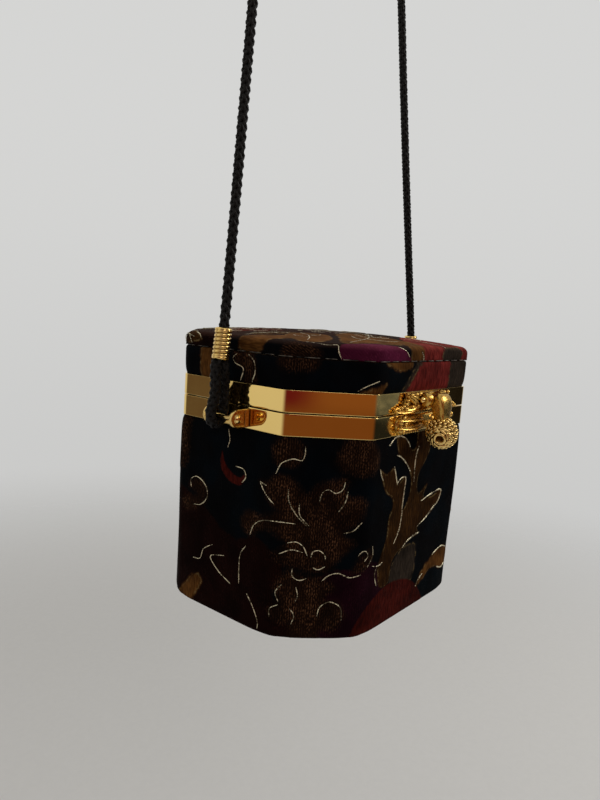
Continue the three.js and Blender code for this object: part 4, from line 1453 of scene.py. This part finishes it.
def make_clasp_knob():
    """A filigree ball: to each side a ring about a deep eye, then curls and rows of beads.
    Places on it are degrees from the eye, the turn about the eye and the depth under the ball's face."""
    centre = front(0, KNOB_OUT, KNOB_UP)
    core_radius = KNOB_RADIUS - KNOB_RELIEF
    eyes = {side: unit(np.array((side * 0.90, -0.33, -0.30))) for side in (-1, 1)}
    points, faces = ball((0, 0, 0), core_radius, segments=72)
    for eye in eyes.values():
        sunk = np.clip((points @ eye / core_radius - math.cos(EYE_ANGLE)) * 25, 0, 1)
        points = points * (1 - EYE_DEPTH * sunk)[:, None]
    make_piece("clasp_knob_core", (flat_backed(centre + points), faces), DARK, "clasp")
    bead_rows = ((50, 15, 1.1), (64, 19, 0.95), (79, 21, 1.05), (96, 21, 1.05), (113, 19, 1.05))
    shells = []
    for side, eye in eyes.items():
        first = unit(np.cross(eye, (0, 0, 1.0)))
        second = np.cross(eye, first)

        def around(degrees, turn, depth):
            angle = math.radians(degrees)
            ring = math.cos(turn) * first + math.sin(turn) * second
            return centre + (KNOB_RADIUS - depth) * (math.cos(angle) * eye + math.sin(angle) * ring)

        shells.append(tube([around(20, turn, 0.9) for turn in full_turn(30)], 0.8, 10, closed=True))
        for start in full_turn(8):
            curl = []
            for share in np.linspace(0, 1, 9):
                curl.append(around(29 + 16 * share, start + 0.75 * math.sin(math.pi * share), 0.75))
            shells.append(tube(curl, 0.75, 8))
            shells.append(ball(around(35, start + 0.36, 1.0), 1.0))
        for degrees, count, radius in bead_rows:
            for index in range(count):
                place = around(degrees, 2 * math.pi * (index + 0.5) / count, radius)
                if side * place[0] > 0.9 * radius:
                    shells.append(ball(place, radius, segments=10))
    for turn in full_turn(22):
        ring = np.array((0, math.cos(turn), math.sin(turn)))
        shells.append(ball(centre + (KNOB_RADIUS - KNOB_SEAM_BEAD) * ring, KNOB_SEAM_BEAD, segments=10))
    points, faces = joined(shells)
    shell = (flat_backed(points), faces)
    make_piece("clasp_knob_filigree", shell, CAST, "clasp", ["clasp_knob"], sharp=60)


make_clasp_plate()
make_clasp_pin()
make_clasp_catch()
make_clasp_lever()
make_clasp_knob()


# Linings

def lining_shell(sign, floor, under):
    """A satin tray round the inside of the box or lid, closed over its back at the level under."""
    def loop(inset, level, scale=1.0, pucker=0.0):
        points, normals = rounded_octagon(inset, max(COVER_ROUND - inset, 2.5), 6, cuts_by_count(14))
        column = np.arange(len(points))
        ripple = pucker * np.sin(column * 2.1) * np.sin(column * 0.37)
        return at_level(points * scale + normals * ripple[:, None], sign * level)

    rows = [loop(LINING_BACK, LINING_RIM)]
    rows += [loop(LINING_BACK, under, scale) for scale in (1, 0.5, 0)]
    rows += [loop(LINING_INSET, floor, scale) for scale in (0, 0.3, 0.6, 0.85)]
    for turn in np.linspace(0, math.pi / 2, 5):
        inset = LINING_INSET + LINING_ROUND * (1 - math.sin(turn))
        rows.append(loop(inset, floor - LINING_ROUND * (1 - math.cos(turn))))
    for share in np.linspace(0.1, 0.95, 10):
        level = floor + (LINING_RIM - floor) * share
        rows.append(loop(LINING_INSET, level, 1.0, LINING_PUCKER * math.sin(math.pi * share)))
    rows.append(loop(LINING_INSET, LINING_RIM))
    return grid(np.stack(rows), wrap_rows=True)


def make_linings():
    for name, node_name, body, sign, floor, under in (
        ("body_satin", "body_lining", "box", -1, 94.2, 94.9),
        ("lid_satin", "lid_lining", "lid", 1, 20.1, 20.7),
    ):
        lining = make_piece(name, lining_shell(sign, floor, under), SATIN, body, [node_name])


make_linings()


# CAD nodes that stay

for name, material in (
    ("body_board", CARD), ("lid_board", CARD), ("base_board", CARD),
    ("hinge_leaf_lower", POLISHED), ("hinge_leaf_upper", POLISHED), ("hinge_pin", POLISHED),
):
    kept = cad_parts[name].data
    kept.materials.clear()
    kept.materials.append(material)


# Stage

def make_floor():
    """A pale floor that fades out before its edge."""
    level = cad_low.z - FLOOR_DROP
    half = FLOOR_SIZE / 2
    corners = [(-half, -half, level), (half, -half, level), (half, half, level), (-half, half, level)]
    mesh = bpy.data.meshes.new("floor")
    mesh.from_pydata(corners, [], [(0, 1, 2, 3)])
    material, tree, shader = new_material("floor_paint", Roughness=0.9, Specular_IOR_Level=0.1)
    grain = noise(tree, object_millimetres(tree), 0.2, 3)
    place = node(tree, "ShaderNodeTexCoord").outputs["Object"]
    flat = stretched(tree, place, (1, 1, 0))
    away = node(tree, "ShaderNodeVectorMath", {0: flat}, operation="LENGTH").outputs["Value"]
    feed(tree, shader, {
        "Base Color": mix(tree, grain, *FLOOR_TONES),
        "Alpha": ramp(tree, away, *FLOOR_FADE, 1.0, 0.0),
    })
    mesh.materials.append(material)
    floor = bpy.data.objects.new("floor", mesh)
    scene.collection.objects.link(floor)
    return floor


def make_light(name, place, size, power, colour):
    lamp = bpy.data.lights.new(name, "AREA")
    lamp.shape = "DISK"
    lamp.size = size
    lamp.energy = power
    lamp.color = colour
    light = bpy.data.objects.new(name, lamp)
    target = Vector((0, SPLIT[1], SPLIT[2] - LIGHT_AIM_DROP))
    light.location = Vector(place)
    light.rotation_euler = (light.location - target).to_track_quat("Z", "Y").to_euler()
    scene.collection.objects.link(light)
    return light


def make_world():
    """What the gilt mirrors: behind, a pale wall with a shadow; in front, a room, warm on the left and grey
    on the right. The camera sees a pale ground, made darker low down by painted shade."""
    world = bpy.data.worlds.new("studio")
    world.use_nodes = True
    scene.world = world
    tree = world.node_tree
    direction = node(tree, "ShaderNodeTexCoord").outputs["Generated"]
    x, y, z = split_vector(tree, direction)
    to_right = ramp(tree, x, -0.1, 0.6)
    low_room = mix(tree, to_right, *ROOM_LOW)
    mottle = ramp(tree, noise(tree, direction, 130, 4), 0.4, 0.66)
    high_room = mix(tree, to_right, ROOM_WARM, mix(tree, mottle, *ROOM_MOTTLED))
    red_spot = maths(tree, "MULTIPLY", ramp(tree, x, -0.58, -0.63), ramp(tree, z, -0.168, -0.15))
    high_room = mix(tree, red_spot, high_room, ROOM_RED)
    high_room = mix(tree, ramp(tree, x, 0.862, 0.9), high_room, ROOM_FAR)
    room = mix(tree, ramp(tree, z, -0.16, -0.128), low_room, high_room)
    room = mix(tree, ramp(tree, z, 0.1, 0.8), room, ROOM_CEILING)
    wall = mix(tree, ramp(tree, z, -0.8, 0.2), *WALL_PALE)
    to_back = ramp(tree, maths(tree, "ADD", x, y), -0.03, 0.05)
    shadow = maths(tree, "MULTIPLY", to_back, ramp(tree, x, -0.3, -0.6))
    wall = mix(tree, shadow, wall, WALL_SHADOW)
    around = mix(tree, ramp(tree, y, -0.4, 0.35), room, wall)
    seen = node(tree, "ShaderNodeLightPath").outputs["Is Camera Ray"]
    # Painted shade: the backdrop is darker low down.
    shaded_low_backdrop = tuple(0.86 * part for part in BACKDROP)
    backdrop = mix(tree, ramp(tree, z, -0.5, 0.3), shaded_low_backdrop, BACKDROP)
    feed(tree, tree.nodes["Background"], {"Color": mix(tree, seen, around, backdrop), "Strength": 1.0})


def make_camera():
    lens = bpy.data.cameras.new("camera")
    lens.lens = CAMERA_LENS
    lens.sensor_width = 36
    lens.clip_start = 0.01
    camera = bpy.data.objects.new("camera", lens)
    camera.matrix_world = (
        Matrix.Translation(CAMERA_AT)
        @ Matrix.Rotation(-CAMERA_YAW, 4, "Z")
        @ Matrix.Rotation(math.pi / 2 + CAMERA_PITCH, 4, "X")
        @ Matrix.Rotation(-CAMERA_ROLL, 4, "Z")
    )
    scene.collection.objects.link(camera)
    scene.camera = camera
    return camera


camera = make_camera()
make_world()
key = make_light("key_light", place=(0.75, -0.75, 0.25), size=0.5, power=4.5, colour=(1.0, 0.97, 0.92))
fill = make_light("fill_light", place=(-0.5, -0.9, 0.35), size=0.6, power=1.5, colour=(1.0, 0.95, 0.9))
make_floor()
scene.view_settings.view_transform = "Standard"
